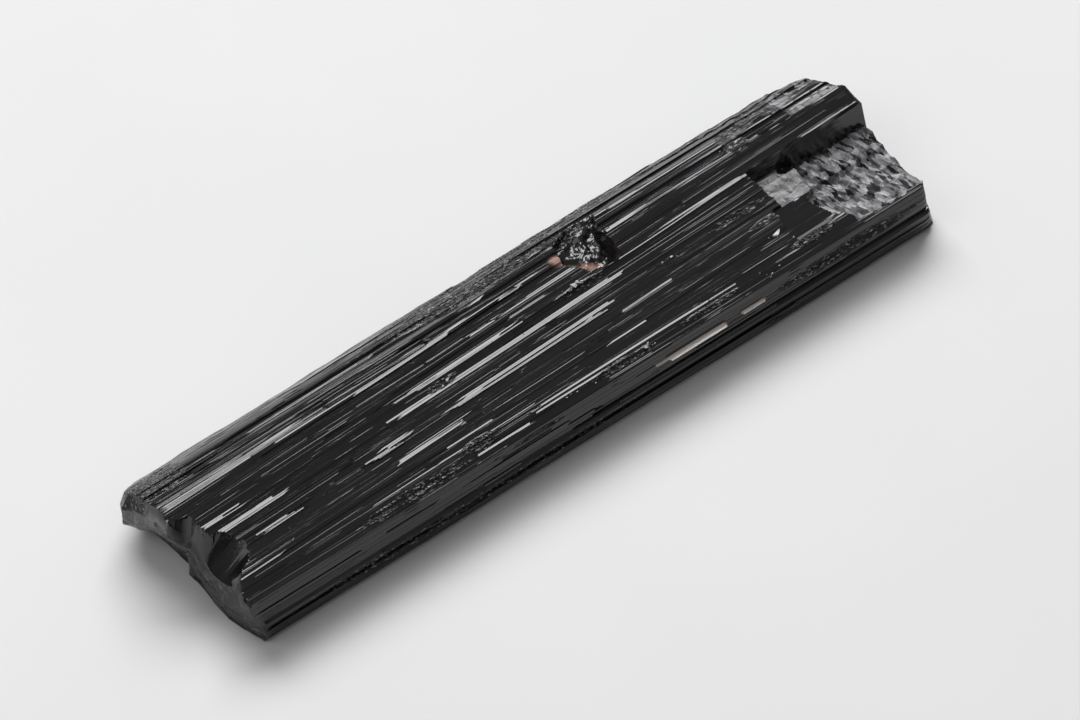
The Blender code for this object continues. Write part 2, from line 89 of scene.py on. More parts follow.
# The ribs on the upper side run slightly askew, between these girths.
RIB_DRIFT = math.tan(math.radians(1.35))
DRIFT_RISE = (4.7, 8.2)
DRIFT_FALL = (14.0, 19.0)

# A rib is one long narrow face. Its width is along the girth, its turn tips it toward the
# front (minus is toward the back), and its lift moves it out of the section's outline.
Rib = namedtuple("Rib", "width turn lift name", defaults=("",))

# A side of the section: where it starts, as Y and Z, and the ribs on it in order.
Side = namedtuple("Side", "start ribs")

SIDES = (
    # front foot
    Side((-7.9, 0.0), (Rib(0.57, 0, 0),)),
    # front face, with a groove along it
    Side((FRONT_Y, 0.45), (Rib(0.80, 0, 0), Rib(0.50, 0, -0.14), Rib(0.45, -4, 0.02))),
    # upper front face, with the warm ledge in its middle
    Side((-8.15, 2.25), (
        Rib(0.30, -25, 0.06), Rib(0.98, 4, 0.0), Rib(0.13, 0, 0.0, "warm ledge"),
        Rib(0.98, -4, -0.03),
    )),
    # front shoulder
    Side((-7.55, 4.55), (
        Rib(0.42, 5, 0.0), Rib(0.16, -6, 0.0, "shoulder ledge"), Rib(0.28, 3, 0.0),
        Rib(0.17, -6, 0.0, "shoulder crest"),
    )),
    # wide front flat
    Side((-6.65, 5.0), (
        Rib(0.42, 9, 0.0), Rib(0.20, 6, 0.04), Rib(0.70, 10, -0.05),
        Rib(0.16, 5, 0.0, "flat line"), Rib(0.45, 8, 0.03), Rib(0.48, 8, 0.06),
    )),
    # middle rise
    Side((-4.15, 5.25), (
        Rib(0.48, 1, 0.0, "lower tread"), Rib(0.16, 2, 0.05, "thin tread"), Rib(0.55, 0, 0.0),
        Rib(0.62, 2, 0.0, "broad tread"), Rib(0.64, 9, -0.06),
    )),
    # steep rise in front of the crest
    Side((-1.75, 5.75), (
        Rib(0.50, 4, 0.02), Rib(0.40, -6, 0.05, "middle tread"), Rib(0.64, 5, -0.10),
        Rib(0.35, -8, 0.05, "bright tread"), Rib(0.25, 10, 0.0),
    )),
    # crest
    Side((0.2, 6.5), (
        Rib(0.70, 7, -0.06), Rib(0.32, 0, 0.03, "crest tread"), Rib(0.30, 6, 0.0),
        Rib(0.22, 2, 0.06), Rib(0.25, 9, -0.10), Rib(0.33, 3, 0.05, "back tread"),
    )),
    # smooth slope behind the crest
    Side((2.25, CREST_HEIGHT), (
        Rib(1.00, 0, 0.0), Rib(0.18, 10, 0.04, "slope line"), Rib(0.85, -1, 0.0),
        Rib(0.20, 12, 0.03, "back line"),
    )),
    # back shoulder
    Side((4.4, 5.9), (
        Rib(0.55, 3, 0.0), Rib(0.16, 10, 0.05), Rib(0.50, 2, 0.0), Rib(0.50, -3, 0.0),
    )),
    # back slope
    Side((5.8, 5.0), (Rib(1.10, 3, 0.0), Rib(1.10, -4, 0.05), Rib(1.13, 2, 0.0))),
    # back face and back foot
    Side((BACK_Y, 2.5), (Rib(0.70, 2, 0.0), Rib(0.80, -2, -0.05))),
    Side((7.75, 1.0), (Rib(1.07, 0, 0.0),)),
    # underside: three flats on the ground, with shallow hollows between them
    Side((7.15, 0.0), (
        Rib(1.10, 0, 0.0), Rib(1.90, 0, -0.12), Rib(2.20, 0, -0.05), Rib(2.60, 0, 0.0),
        Rib(2.40, 0, -0.15), Rib(1.90, 0, -0.06), Rib(1.60, 0, 0.0), Rib(1.55, 0, -0.10),
    )),
)
UNDERSIDE = len(SIDES) - 1

# Stretches of named ribs, from start to end along X, with a turn and a lift of their own.
Stretch = namedtuple("Stretch", "start end turn lift")

STRETCHES = {
    "warm ledge": ((6.6, 7.9, -74, -0.05), (7.9, 13.2, -74, 0.22), (14.6, 16.9, -73, 0.06)),
    "shoulder ledge": ((-9.4, -4.6, -27, 0.02),),
    "shoulder crest": ((-2.0, 6.4, -28, 0.03),),
    "flat line": ((-12.5, -8.2, -6, 0.04), (2.8, 6.4, -6, 0.05)),
    "lower tread": ((-15.0, -9.0, -10, 0.06),),
    "thin tread": ((-5.0, 12.0, -10, 0.06),),
    "broad tread": ((-26.5, -23.4, -10, 0.08), (-16.5, -14.0, -11, 0.08), (-9.0, 5.2, -10, 0.05)),
    "middle tread": ((-29.5, -23.4, -21, 0.06), (-12.8, 8.2, -21, 0.02)),
    "bright tread": ((-31.0, -27.0, -19, 0.08), (-11.0, -1.0, -19, 0.04)),
    "crest tread": ((-4.7, -2.3, -8, 0.04), (-1.2, 5.5, -8, 0.05), (9.5, 36.0, 6, 0.0)),
    "back tread": ((-22.0, 0.5, -9, 0.05), (9.5, 36.0, 7, 0.02)),
    "slope line": ((-4.5, -2.0, 20, 0.05),),
    "back line": ((1.0, 3.4, 22, 0.05), (10.9, 21.2, 22, 0.05)),
}

# Uneven lumps on broken surfaces: how wide, how high, and which patch of noise.
Lumps = namedtuple("Lumps", "width height patch")
COARSE_SHARE = 1.5
FINER_SHARE = 0.6
FINER_SCALE = 2.3

# Near end, as lines drawn along Y: where the broken face stands, how high its upper rim is,
# and how steeply the dark hollow behind the rim climbs to the ribs.
NEAR_FACE = ((-8.7, -29.9), (-7.6, -30.35), (-6.7, -30.6), (-5.9, -30.75), (-4.7, -31.0),
             (-3.0, -30.95), (-1.6, -30.8), (0.1, -30.75), (0.45, -30.9), (0.8, -32.2),
             (3.8, -32.35), (4.8, -32.5), (5.6, NEAR_X), (6.4, -32.3), (7.2, -31.2),
             (8.3, -29.2))
NEAR_RIM = ((-8.7, 1.8), (-7.7, 3.9), (-5.1, 3.8), (-4.0, 3.4), (-3.0, 3.1), (0.2, 3.0),
            (0.6, 3.6), (0.9, 5.4), (3.2, 5.4), (5.0, 4.2), (6.0, 3.5), (7.3, 3.0), (8.3, 2.0))
NEAR_CLIMB = ((-7.7, 3.0), (-7.0, 6.0), (-6.1, 3.3), (-5.4, 1.8), (-4.7, 0.8), (-4.1, 0.72),
              (-3.3, 0.85), (-2.5, 1.05), (-1.7, 1.8), (-0.4, 8.5), (0.6, 12.0), (1.2, 8.0),
              (2.1, 7.0), (3.2, 4.0), (5.0, 2.4), (8.3, 2.6))
NEAR_LUMPS = Lumps(1.1, 0.35, 3.0)
NEAR_ROUGH_SIDE = (3.0, 3.8)
NEAR_ROUGH_REACH = (1.5, 3.2)

# The ridge and the lobe at the back of the near end overhang the ground. The undercut's top,
# drawn along Y, is higher under the ridge. The front corner stands out a little at its top.
LOBE_SIDE = (0.3, 0.9)
LOBE_UNDERCUT = 2.0
LOBE_UNDERCUT_TOP = ((0.9, 5.7), (2.2, 4.9), (3.5, 4.0), (4.4, 2.7), (5.6, 2.3))
CORNER_SIDE = (5.0, 7.0)
CORNER_RISE = (0.8, 4.0)
CORNER_OVERHANG = 0.85

# Far end: its broken face, whose foot leans out under the front ridge.
FAR_FACE = ((-8.4, 31.3), (-7.0, 32.0), (-5.0, 31.9), (-2.0, 31.8), (0.5, FAR_X), (2.2, 32.0),
            (4.0, 31.4), (5.6, 31.1), (8.3, 31.3))
FAR_LEAN = 0.75
FAR_LEAN_TOP = 4.8
FAR_LEAN_SIDE = (-6.5, -4.0)

# The broken ledge at the far end, between the front shoulder and the back ridge.
LEDGE_WALL_Y = -0.25
LEDGE_WALL_FOOT = 4.3
LEDGE_WALL_SLOPE = 3.0
TREAD_START = 21.4
TREAD_SLANT = 0.18
TREAD_FRONT_Y = -2.95
TREAD_LEVEL = 5.2
TREAD_TILT = 0.07
LOWER_START = 21.0
LOWER_FRONT_Y = -5.5
LOWER_FRONT_LEVEL = 4.6
LOWER_TILT = 0.25
LOWER_FRONT_SLOPE = 0.8
STEP_SLOPE = 6.0
HOLE_CENTRE = (24.4, -0.2)
HOLE_REACH = (0.7, 0.42)
HOLE_DEPTH = 0.6

# The rough fracture beyond the ledge. Its start is a line drawn along Y, and a low step
# along it divides it in two.
FRACTURE_START = ((-6.6, 25.8), (-5.5, 24.9), (-4.4, 24.4), (-3.3, 23.9), (-2.8, 24.9),
                  (-0.4, 24.9))
FRACTURE_X = 23.9
FRACTURE_LEVEL = 4.15
FRACTURE_FALL = 0.035
FRACTURE_STEP = 0.45
FRACTURE_STEP_SIDE = (-2.75, -2.4)
FRACTURE_FRONT_Y = -6.6
FRACTURE_FRONT_SLOPE = 1.4
FRACTURE_SKEW = 0.6
FRACTURE_LUMPS = Lumps(1.3, 0.28, 7.0)

# Back ridge near the far end: chipped lower, then a flat broken plateau.
CHIP_RUN = (21.3, 21.8)
CHIP_SIDE = (3.4, 4.3)
CHIP_DEPTH = 0.06
CHIP_LUMPS = Lumps(1.7, 1.5, 17.0)
CHIP_HEIGHT = (0.6, 2.0)
CHIP_INWARD = Vector((0.6, 0.8))
NOTCH_RUN = (29.0, 29.5)
NOTCH_SIDE = (6.0, 7.0)
NOTCH_DEPTH = 0.25
PLATEAU_START = 27.1
PLATEAU_SIDE = (1.9, 2.5)
PLATEAU_LEVEL = 6.4
PLATEAU_TILT = 0.12
PLATEAU_SLOPE = 3.0
PLATEAU_LUMPS = Lumps(1.0, 0.04, 13.0)

# Pit in the crest. Its near and far edges are lines drawn along Y. The near side is a
# slanting slope in front and a steep wall behind; the far side is a broken rib end.
PIT_NEAR = ((-0.1, 8.0), (0.3, 6.6), (1.4, 5.5), (1.8, 5.1), (4.0, 5.8), (5.5, 8.6))
PIT_NEAR_CLIMB = ((0.3, 1.4), (1.4, 1.6), (2.0, 5.0))
PIT_FAR = ((-0.1, 9.3), (1.8, 9.3), (3.4, 9.5), (5.3, 10.7))
PIT_FRONT_Y = -0.1
PIT_FRONT_CLIMB = 4.0
PIT_RIM = 6.6
PIT_FLOOR = 4.6
PIT_TILT = 0.16
PIT_LUMPS = Lumps(1.0, 0.2, 11.0)

# Where a broken surface cuts the ribs away, this much of their height stays on it.
KEEP = 0.05

# The rows of corners slide onto the broken end faces over this distance.
FACE_FIT = 8.0

# A height well above the crystal, where nothing is cut.
OPEN_HEIGHT = 50.0

# Fine ribs that divide each rib, with small steps, turns and lifts of their own. They turn
# more on bright stretches. A few odd ones are short and turn further, but not on the quiet
# girths behind the crest.
FINE_SEED = 7
FINE_WIDTH = 0.13
FINE_SPREAD = 0.45
FINE_LIFT = 0.016
FINE_TURN = 2.5
FINE_TREAD_TURN = 6.0
FINE_ODD_TURN = 13.0
FINE_ODD_SHARE = 0.1
FINE_ODD_LONGEST = 7.0
FINE_SHORTEST = 3.0
FINE_LONGEST = 22.0
FINE_SHIFT = 1.0
FINE_QUIET_GIRTH = (14.8, 17.0)
FINE_GAP = 0.011
FINE_STEP_GAPS = (0.03, 0.33)

# Off the bright stretches, the fine ribs between two girths all lean by some degrees more.
FINE_BIASES = ((4.6, 14.8, 3.5), (14.8, 17.8, -3.5))

# The fine ribs wander a little along the prism: how far they keep one course along X and round
# the girth, how much they wander, and the girths where they do.
WANDER_RUN = 13.0
WANDER_GIRTH = 0.8
WANDER_REACH = 0.12
WANDER_PATCH = 53.0
WANDER_SIDE = (4.7, 5.4, 16.6, 17.4)

# The back foot and the underside have wider fine ribs.
HIDDEN_WIDTH = 0.8
HIDDEN_GIRTH = 22.5

# Rows of corners along the prism, closer together where something is broken: how far along X
# each run of rows goes, and how far apart its rows are.
ROW_RUNS = ((-27.2, 0.13), (4.3, 0.78), (11.0, 0.15), (20.3, 0.78), (FAR_X, 0.125))

# The end faces have their own evenly spaced points, and are dented by lumps.
END_SPACING = 0.32
END_CLEARANCE = 0.5 * END_SPACING
MERGE_DISTANCE = 1e-6
INSIDE_ONLY = 1
END_LUMPS = Lumps(2.0, 0.22, 19.0)

# Hackly relief on the rough fracture: short terraces that run askew across the prism.
HACKLE_WIDTH = 0.36
HACKLE_LENGTH = 1.3
HACKLE_SKEW = math.radians(17.6)
HACKLE_HEIGHT = 0.3
HACKLE_STEPS = 2.6
HACKLE_RISE = (0.3, 0.7)
HACKLE_PATCH = 23.0
PIT_HACKLE = 0.3

# Finer grit on the other broken surfaces, and uneven wear of the back edge.
GRIT_LUMPS = Lumps(0.35, 0.035, 29.0)
WALL_LUMPS = Lumps(0.35, 0.07, 31.0)
WALL_STRETCH = 0.1
NEAR_GRIT = Lumps(0.5, 0.08, 37.0)
EDGE_WEAR = Lumps(2.3, 0.05, 43.0)
EDGE_WEAR_GIRTH = (18.0, 20.0)

# The rim of the far end is rounded over this distance, by this much.
FAR_ROUND_REACH = 0.7
FAR_ROUND_DEPTH = 0.3

# How worn the dark hollow is, which alone is smooth, and how much more so its rough lobe is.
HOLLOW_WORN = 0.15
LOBE_WORN = 0.5

# Broken places: how broken each is, which roughens it and gives it a painted silvery sheen
# (pale grey colour standing in for the reflection of the light), and how dully worn each is.
# A place counts as cut when the cut is deeper than these, and each kind reaches a little past
# its own outline.
HOLLOW_CUT = 0.05
SKIN_CUT = 0.04
FRACTURE_MARGIN = 0.15
WALL_MARGIN = 0.1
STEP_MARGIN = 0.3
GLOSSY = (0.0, 0.0)
FRACTURE_FINISH_AND_SHEEN = (1.0, 0.0)
TREAD_FINISH_AND_SHEEN = (0.5, 0.0)
PLATEAU_FINISH_AND_SHEEN = (0.7, 0.3)
CHIP_FINISH_AND_SHEEN = (0.4, 0.9)
OTHER_FINISH = (0.0, 0.1)

# A pinkish stain runs into the pit along a line of X and Y, fading out over these distances
# from it. The warm ledge is covered by a paler mineral.
STAIN_LINE = (Vector((5.0, 2.4)), Vector((7.9, 0.75)))
STAIN_FADE = (0.2, 0.8)
STAIN_SHARE = 0.5
LEDGE_SHARE = 1.0

# Worn patches on the ribs: middle along X and girth, half sizes, and how strong the wear is.
# The wear fades out over these shares of the half sizes.
Wear = namedtuple("Wear", "x girth reach spread strength")
WEAR_FADE = (0.6, 1.15)

WORN_PATCHES = tuple(Wear(*row) for row in (
    (-1.5, 17.7, 8.5, 1.2, 0.7), (6.0, 20.4, 17.0, 2.2, 0.7), (6.4, 17.5, 2.6, 0.9, 1.0),
    (-8.3, 11.5, 1.3, 0.4, 1.0), (-15.5, 5.3, 6.0, 0.6, 0.6), (-9.1, 5.9, 1.8, 0.7, 0.8),
    (18.6, 10.6, 3.2, 0.4, 0.8), (24.4, 3.6, 7.5, 0.7, 0.75), (22.2, 6.0, 2.2, 0.45, 1.0),
    (22.2, 15.6, 1.1, 1.1, 1.0), (19.9, 9.0, 1.5, 0.35, 0.8), (-11.0, 1.9, 2.2, 0.3, 0.8),
    (-18.0, 1.2, 6.0, 0.4, 0.6), (-4.5, 4.2, 2.8, 0.25, 0.7), (4.0, 5.4, 3.5, 0.4, 0.6),
    (12.0, 5.5, 3.5, 0.3, 0.7), (-30.0, 18.5, 3.0, 3.0, 0.6), (5.0, 12.2, 3.0, 0.4, 0.6),
    (-12.0, 1.7, 22.0, 0.7, 0.6),
))

# Layers of values on the mesh, and what they are on the end faces. The broken layer also sets
# the painted silvery sheen, so the end faces get some painted sheen too.
BROKEN_AND_SHEEN_LAYER = "broken"
WORN_LAYER = "worn"
MINERAL_LAYER = "mineral"
END_VALUES = {BROKEN_AND_SHEEN_LAYER: 0.35, WORN_LAYER: 0.3, MINERAL_LAYER: 0.0}

# Colours of the stone. The pale grain colour is a painted sheen: it stands in for the silvery
# reflection of the light on broken places.
STONE_BLACK = (0.006, 0.006, 0.0072, 1.0)
GRAIN_DARK = (0.008, 0.008, 0.009, 1.0)
PAINTED_SHEEN_GREY = (0.46, 0.46, 0.48, 1.0)
DUST = (0.016, 0.0155, 0.015, 1.0)
SPECK_PALE = (0.42, 0.42, 0.42, 1.0)
STAIN_BROWN = (0.4, 0.25, 0.21, 1.0)
LEDGE_PALE = (0.82, 0.77, 0.72, 1.0)

# Where along each ramp the colours above stand.
GRAIN_STOPS = (0.1, 0.9)
SPECK_STOPS = (0.84, 1.0)
MINERAL_STOPS = (0.5, 1.0)

# Shine of the stone. Patches of noise make it streaky and break up the layers' edges.
STONE_IOR = 1.64
GLOSS = (0.07, 0.17)
WORN_DULLNESS = (0.0, 0.08)
BROKEN_DULLNESS = (0.0, 0.3)
SPECULAR = (0.5, 0.15)
PATCH_RANGE = (0.3, 0.7)
PATCH_SHARES = (0.6, 1.3)
GLOSS_RANGE = (0.35, 0.7)
BROKEN_RANGE = (0.25, 0.85)
WORN_RANGE = (0.25, 0.75)
MINERAL_RANGE = (0.0, 0.4)
WHOLE = (0.0, 1.0)

# Grains as cells per metre along X, Y and Z, and depths of relief in metres. The noises have
# their detail and roughness too.
PATCH_NOISE = ((500.0, 1500.0, 1500.0), 4.0, 0.65)
GRIT_NOISE = ((8000.0, 5000.0, 8000.0), 3.0, 0.6)
BROKEN_GRAIN = (3600.0, 1300.0, 2500.0)
BROKEN_SKEW = -HACKLE_SKEW
SPECK_GRAIN = (4500.0, 9000.0, 9000.0)
STREAK_GRAIN = (40.0, 6000.0, 6000.0)
HAIR_GRAIN = (150.0, 15000.0, 15000.0)
STREAK_DEPTH = 0.00001
HAIR_DEPTH = 0.000004
WORN_DEPTH = 0.00008
GRAIN_DEPTH = 0.00005
GRIT_DEPTH = 0.00005

# Plain materials that vary between two tones: pale silky chips, and pale ground.
Toned = namedtuple("Toned", "name grain detail stops tones roughness")

PALE_CHIPS = Toned("pale_chips", (9000.0, 9000.0, 9000.0), 2.0, (0.35, 0.65),
                   ((0.35, 0.35, 0.35, 1.0), (0.7, 0.7, 0.69, 1.0)), 0.35)
PALE_GROUND = Toned("pale_ground", (25.0, 25.0, 25.0), 4.0, (0.3, 0.7),
                    ((0.76, 0.765, 0.77, 1.0), (0.80, 0.80, 0.80, 1.0)), 0.55)
FLOOR_WIDTH = 1.6

# Tiny pale chips that lie on the crystal: X, Y and size. Smaller bits lie round each one.
CRUMB_SEED = 5
CRUMB_SHIFT = (-0.17, 0.27)
CRUMB_DROP = 20.0
CRUMB_BITS = 3
BIT_SPREAD = (0.7, 0.12)
BIT_SIZE = 0.16
BIT_SHARES = (0.5, 1.0)
SHARD_CORNERS = 8
SHARD_REACH = (0.6, 0.4, 0.28)
SHARD_LIFT = 0.15
CRUMBS = (
    (4.8, -0.1, 0.55), (5.2, 0.0, 0.3), (20.2, -4.8, 0.75), (6.2, -6.9, 0.4), (6.5, -6.8, 0.25),
    (22.0, 2.9, 0.3), (22.6, 3.2, 0.25), (-8.2, -1.2, 0.25), (-7.6, -1.0, 0.3), (-0.2, -7.0, 0.2),
    (12.6, -1.9, 0.25), (-9.4, -6.2, 0.3), (17.8, -7.2, 0.3), (-4.0, 5.4, 0.25), (-2.2, 5.6, 0.3),
)

# Camera, with its target in millimetres, and how wide the view is there.
CAMERA_AZIMUTH = 218.14
CAMERA_ELEVATION = 52.0
CAMERA_LENS = 600.0
CAMERA_SENSOR = 36.0
CAMERA_TARGET = Vector((0.15, -1.6, 3.0))
CAMERA_NEAREST = 0.01
VIEW_PIXELS = 1080.0
PIXELS_PER_MM = 13.65
VIEW_WIDTH = VIEW_PIXELS / PIXELS_PER_MM

# One large softbox behind the crystal, a weak one beside it, and a dim even room.
Softbox = namedtuple("Softbox", "azimuth elevation distance width height power colour")

KEY = Softbox(26.0, 47.0, 0.9, 0.9, 0.42, 8.8, (1.0, 1.0, 1.0))
FILL = Softbox(-75.0, 50.0, 0.6, 0.4, 0.3, 0.45, (1.0, 0.97, 0.94))
SKY_COLOUR = (0.99, 0.99, 1.0, 1.0)
SKY_RISE = (0.0, 0.6)
SKY_STRENGTHS = (0.04, 0.24)


def blend(line, place):
    """Read a drawn line, given as (place, value) points, at one place."""
    first = line[0]
    if place <= first[0]:
        return first[1]
    for second in line[1:]:
        if place <= second[0]:
            share = (place - first[0]) / (second[0] - first[0])
            return first[1] + share * (second[1] - first[1])
        first = second
    return first[1]


def smooth(value, span):
    """Ease from 0 at the start of a span to 1 at its end."""
    share = min(max((value - span[0]) / (span[1] - span[0]), 0.0), 1.0)
    return share * share * (3.0 - 2.0 * share)


def lump_height(x, y, lumps):
    """Height of a broken surface's lumps, from coarse noise with finer noise on it."""
    place = Vector((x / lumps.width, y / lumps.width, lumps.patch))
    finer = FINER_SHARE * noise.noise(FINER_SCALE * place)
    return lumps.height * (COARSE_SHARE * noise.noise(place) + finer)


def hackle_height(x, y):
    """Short terraces that run askew across the rough fracture."""
    across = (x * math.cos(HACKLE_SKEW) + y * math.sin(HACKLE_SKEW)) / HACKLE_WIDTH
    along = (y * math.cos(HACKLE_SKEW) - x * math.sin(HACKLE_SKEW)) / HACKLE_LENGTH
    level = HACKLE_STEPS * noise.noise(Vector((across, along, HACKLE_PATCH)))
    whole = math.floor(level)
    terrace = (whole + smooth(level - whole, HACKLE_RISE)) / HACKLE_STEPS
    return HACKLE_HEIGHT * terrace + lump_height(x, y, GRIT_LUMPS)


class Outline:
    """The closed section, followed by girth: the distance round it from the front foot."""

    def __init__(self, sides):
        self.corners = [Vector(side.start) for side in sides]
        self.corners.append(self.corners[0])
        self.girths = [0.0]
        for first, second in zip(self.corners, self.corners[1:]):
            self.girths.append(self.girths[-1] + (second - first).length)
        self.total = self.girths[-1]

    def point(self, girth):
        girth %= self.total
        side = 0
        while girth > self.girths[side + 1]:
            side += 1
        share = (girth - self.girths[side]) / (self.girths[side + 1] - self.girths[side])
        return self.corners[side].lerp(self.corners[side + 1], share)

    def outward(self, girth):
        """The outward direction, eased round the corners so that ribs never cross there."""
        along = (self.point(girth + CORNER_EASE) - self.point(girth - CORNER_EASE)).normalized()
        return Vector((-along.y, along.x))


def lift_at(lifts, share, x):
    """Read a rib's stretches at one place: share 0 is its front edge and 1 its back edge."""
    front, back = next((front, back) for end, front, back in lifts if x <= end)
    return front + share * (back - front)


# One rib in place: its girth range and the lifts of its two edges along the prism.
Column = namedtuple("Column", "start end lifts underside")


def wander(x, girth):
    """How far the fine ribs stray sideways at one place."""
    course = noise.noise(Vector((x / WANDER_RUN, girth / WANDER_GIRTH, WANDER_PATCH)))
    free = smooth(girth, WANDER_SIDE[:2]) * (1.0 - smooth(girth, WANDER_SIDE[2:]))
    return WANDER_REACH * free * course


class FineRib:
    """A narrow strip of a rib, with small lifts of its own on top of the rib's."""

    def __init__(self, column, shares, lifts, shift, treads, warm, step_gap):
        self.column = column
        self.shares = shares
        self.lifts = lifts
        self.shift = shift
        self.treads = treads
        self.warm = warm
        self.step_gap = step_gap
        width = column.end - column.start
        self.start = column.start + shares[0] * width
        self.end = column.start + shares[1] * width
        self.underside = column.underside
        turn = next((turn for low, high, turn in FINE_BIASES if low < self.start < high), 0.0)
        self.bias_rise = math.tan(math.radians(turn)) * (self.end - self.start)

    def on_tread(self, x):
        """Whether a place is on one of the rib's own bright stretches."""
        return any(low < x + self.shift < high for low, high in self.treads)

    def girth(self, share, x):
        """The girth of the strip's front edge (share 0) or back edge (share 1)."""
        girth = self.start + FINE_GAP + share * (self.end - self.start - 2.0 * FINE_GAP)
        drift = RIB_DRIFT * smooth(girth, DRIFT_RISE) * (1.0 - smooth(girth, DRIFT_FALL)) * x
        return girth + drift + wander(x, girth)

    def lift(self, share, x):
        """How far the strip's front edge (share 0) or back edge (share 1) stands out."""
        own = lift_at(self.lifts, share, x)
        if not self.on_tread(x):
            own += (share - 0.5) * self.bias_rise
        across = self.shares[0] + share * (self.shares[1] - self.shares[0])
        return own + lift_at(self.column.lifts, across, x + self.shift)

    def steps(self):
        """Places where the strip steps up or down, away from the broken places."""
        ends = [stretch[0] - self.shift for stretch in self.column.lifts[:-1]]
        ends += [stretch[0] for stretch in self.lifts[:-1]]
        return [end for end in ends if in_step_zone(end)]


def in_step_zone(x):
    return any(low <= x <= high for low, high in STEP_ZONES)


def edge_lifts(width, turn, lift):
    """Lifts of a rib's front and back edges when the rib is turned about its middle."""
    half_rise = 0.5 * width * math.tan(math.radians(turn))
    return lift - half_rise, lift + half_rise


def chance_steps(rng):
    """Places along the prism where a rib may step up or down."""
    steps = []
    place = NEAR_X + rng.uniform(FIRST_STRETCH, LONGEST_STRETCH)
    while place < FAR_X:
        if in_step_zone(place):
            steps.append(place)
        place += rng.uniform(SHORTEST_STRETCH, LONGEST_STRETCH)
    return steps


def rib_lifts(rib, rng):
    """The stretches of one rib, as (end, front edge lift, back edge lift)."""
    own = [Stretch(*row) for row in STRETCHES.get(rib.name, ())]
    ends = {FAR_X + LENGTH}
    for stretch in own:
        ends |= {stretch.start, stretch.end}
    for place in chance_steps(rng):
        clear = STEP_CLEARANCE
        if not any(stretch.start - clear < place < stretch.end + clear for stretch in own):
            ends.add(place)
    turn_range = CHANCE_TURN * min(1.0, STEADY_WIDTH / rib.width)
    lifts = []
    begin = NEAR_X
    for end in sorted(ends):
        turn = rib.turn + rng.uniform(-turn_range, turn_range)
        lift = rib.lift + rng.uniform(-CHANCE_LIFT, CHANCE_LIFT)
        for stretch in own:
            if stretch.start <= 0.5 * (begin + end) <= stretch.end:
                turn, lift = stretch.turn, stretch.lift
        lifts.append((end,) + edge_lifts(rib.width, turn, lift))
        begin = end
    return lifts


def fine_lifts(width, treads, odd_share, rng):
    """Small random stretches of one fine rib, a few of them short and turned much further."""
    lifts = []
    end = NEAR_X + rng.uniform(0.0, FINE_LONGEST)
    while True:
        usual = FINE_TREAD_TURN if any(low < end < high for low, high in treads) else FINE_TURN
        odd = rng.random() < odd_share
        turn = rng.gauss(0.0, FINE_ODD_TURN if odd else usual)
        lift = rng.uniform(-FINE_LIFT, FINE_LIFT)
        last = end > FAR_X
        lifts.append((FAR_X + LENGTH if last else end,) + edge_lifts(width, turn, lift))
        if last:
            return lifts
        end += rng.uniform(FINE_SHORTEST, FINE_ODD_LONGEST if odd else FINE_LONGEST)


def divide(column, rib, rng):
    """Divide a rib into fine ribs of uneven width."""
    width = column.end - column.start
    target = HIDDEN_WIDTH if column.start > HIDDEN_GIRTH else FINE_WIDTH
    count = max(1, round(width / target))
    parts = [1.0 + rng.uniform(-FINE_SPREAD, FINE_SPREAD) for _ in range(count)]
    treads = [row[:2] for row in STRETCHES.get(rib.name, ()) if Stretch(*row).turn < 0]
    quiet = FINE_QUIET_GIRTH[0] < 0.5 * (column.start + column.end) < FINE_QUIET_GIRTH[1]
    odd_share = 0.0 if quiet else FINE_ODD_SHARE
    fine = []
    share = 0.0
    for part in parts:
        following = min(1.0, share + part / sum(parts))
        if column.underside:
            lifts, shift, treads = [(FAR_X + LENGTH, 0.0, 0.0)], 0.0, []
        else:
            lifts = fine_lifts(width * (following - share), treads, odd_share, rng)
            shift = rng.gauss(0.0, FINE_SHIFT)
        warm = rib.name == "warm ledge"
        step_gap = rng.uniform(*FINE_STEP_GAPS)
        fine.append(FineRib(column, (share, following), lifts, shift, treads, warm, step_gap))
        share = following
    return fine


def make_fine_ribs(outline):
    """Set every rib in place as the solid has it, then divide it into fine ribs."""
    rng = random.Random(SEED)
    fine_rng = random.Random(FINE_SEED)
    fine = []
    for index, side in enumerate(SIDES):
        girth = outline.girths[index]
        room = outline.girths[index + 1] - girth
        scale = room / sum(rib.width for rib in side.ribs)
        for rib in side.ribs:
            width = rib.width * scale
            if index == UNDERSIDE:
                lifts = [(FAR_X + LENGTH, rib.lift, rib.lift)]
            else:
                lifts = rib_lifts(rib, rng)
            column = Column(girth, girth + width, lifts, index == UNDERSIDE)
            fine += divide(column, rib, fine_rng)
            girth += width
    return fine


def spaced(low, high, spacing):
    """Even places from low to high, both included."""
    gaps = max(1, round((high - low) / spacing))
    return [low + (high - low) * index / gaps for index in range(gaps + 1)]


def base_rows():
    """Places along the prism where the skin has a row of corners, before ribs shift them."""
    rows = [NEAR_X]
    start = NEAR_X
    for end, spacing in ROW_RUNS:
        rows += spaced(start, end, spacing)[1:]
        start = end
    return rows


def column_rows(fine_rib, rows):
    """Move two neighbouring rows of a rib close together wherever the rib has a step."""
    moved = list(rows)
    taken = set()
    for place in fine_rib.steps():
        index = min(range(len(rows) - 1), key=lambda i: abs(rows[i] + rows[i + 1] - 2.0 * place))
        if not taken & {index - 1, index, index + 1}:
            taken.add(index)
            moved[index] = place - fine_rib.step_gap
            moved[index + 1] = place + fine_rib.step_gap
    return moved


def near_face_x(y, z):
    """Where the near end's broken face stands."""
    low = 1.0 - smooth(z, (0.0, blend(LOBE_UNDERCUT_TOP, y)))
    undercut = LOBE_UNDERCUT * smooth(y, LOBE_SIDE) * low
    overhang = CORNER_OVERHANG * smooth(-y, CORNER_SIDE) * smooth(z, CORNER_RISE)
    return blend(NEAR_FACE, y) + undercut - overhang


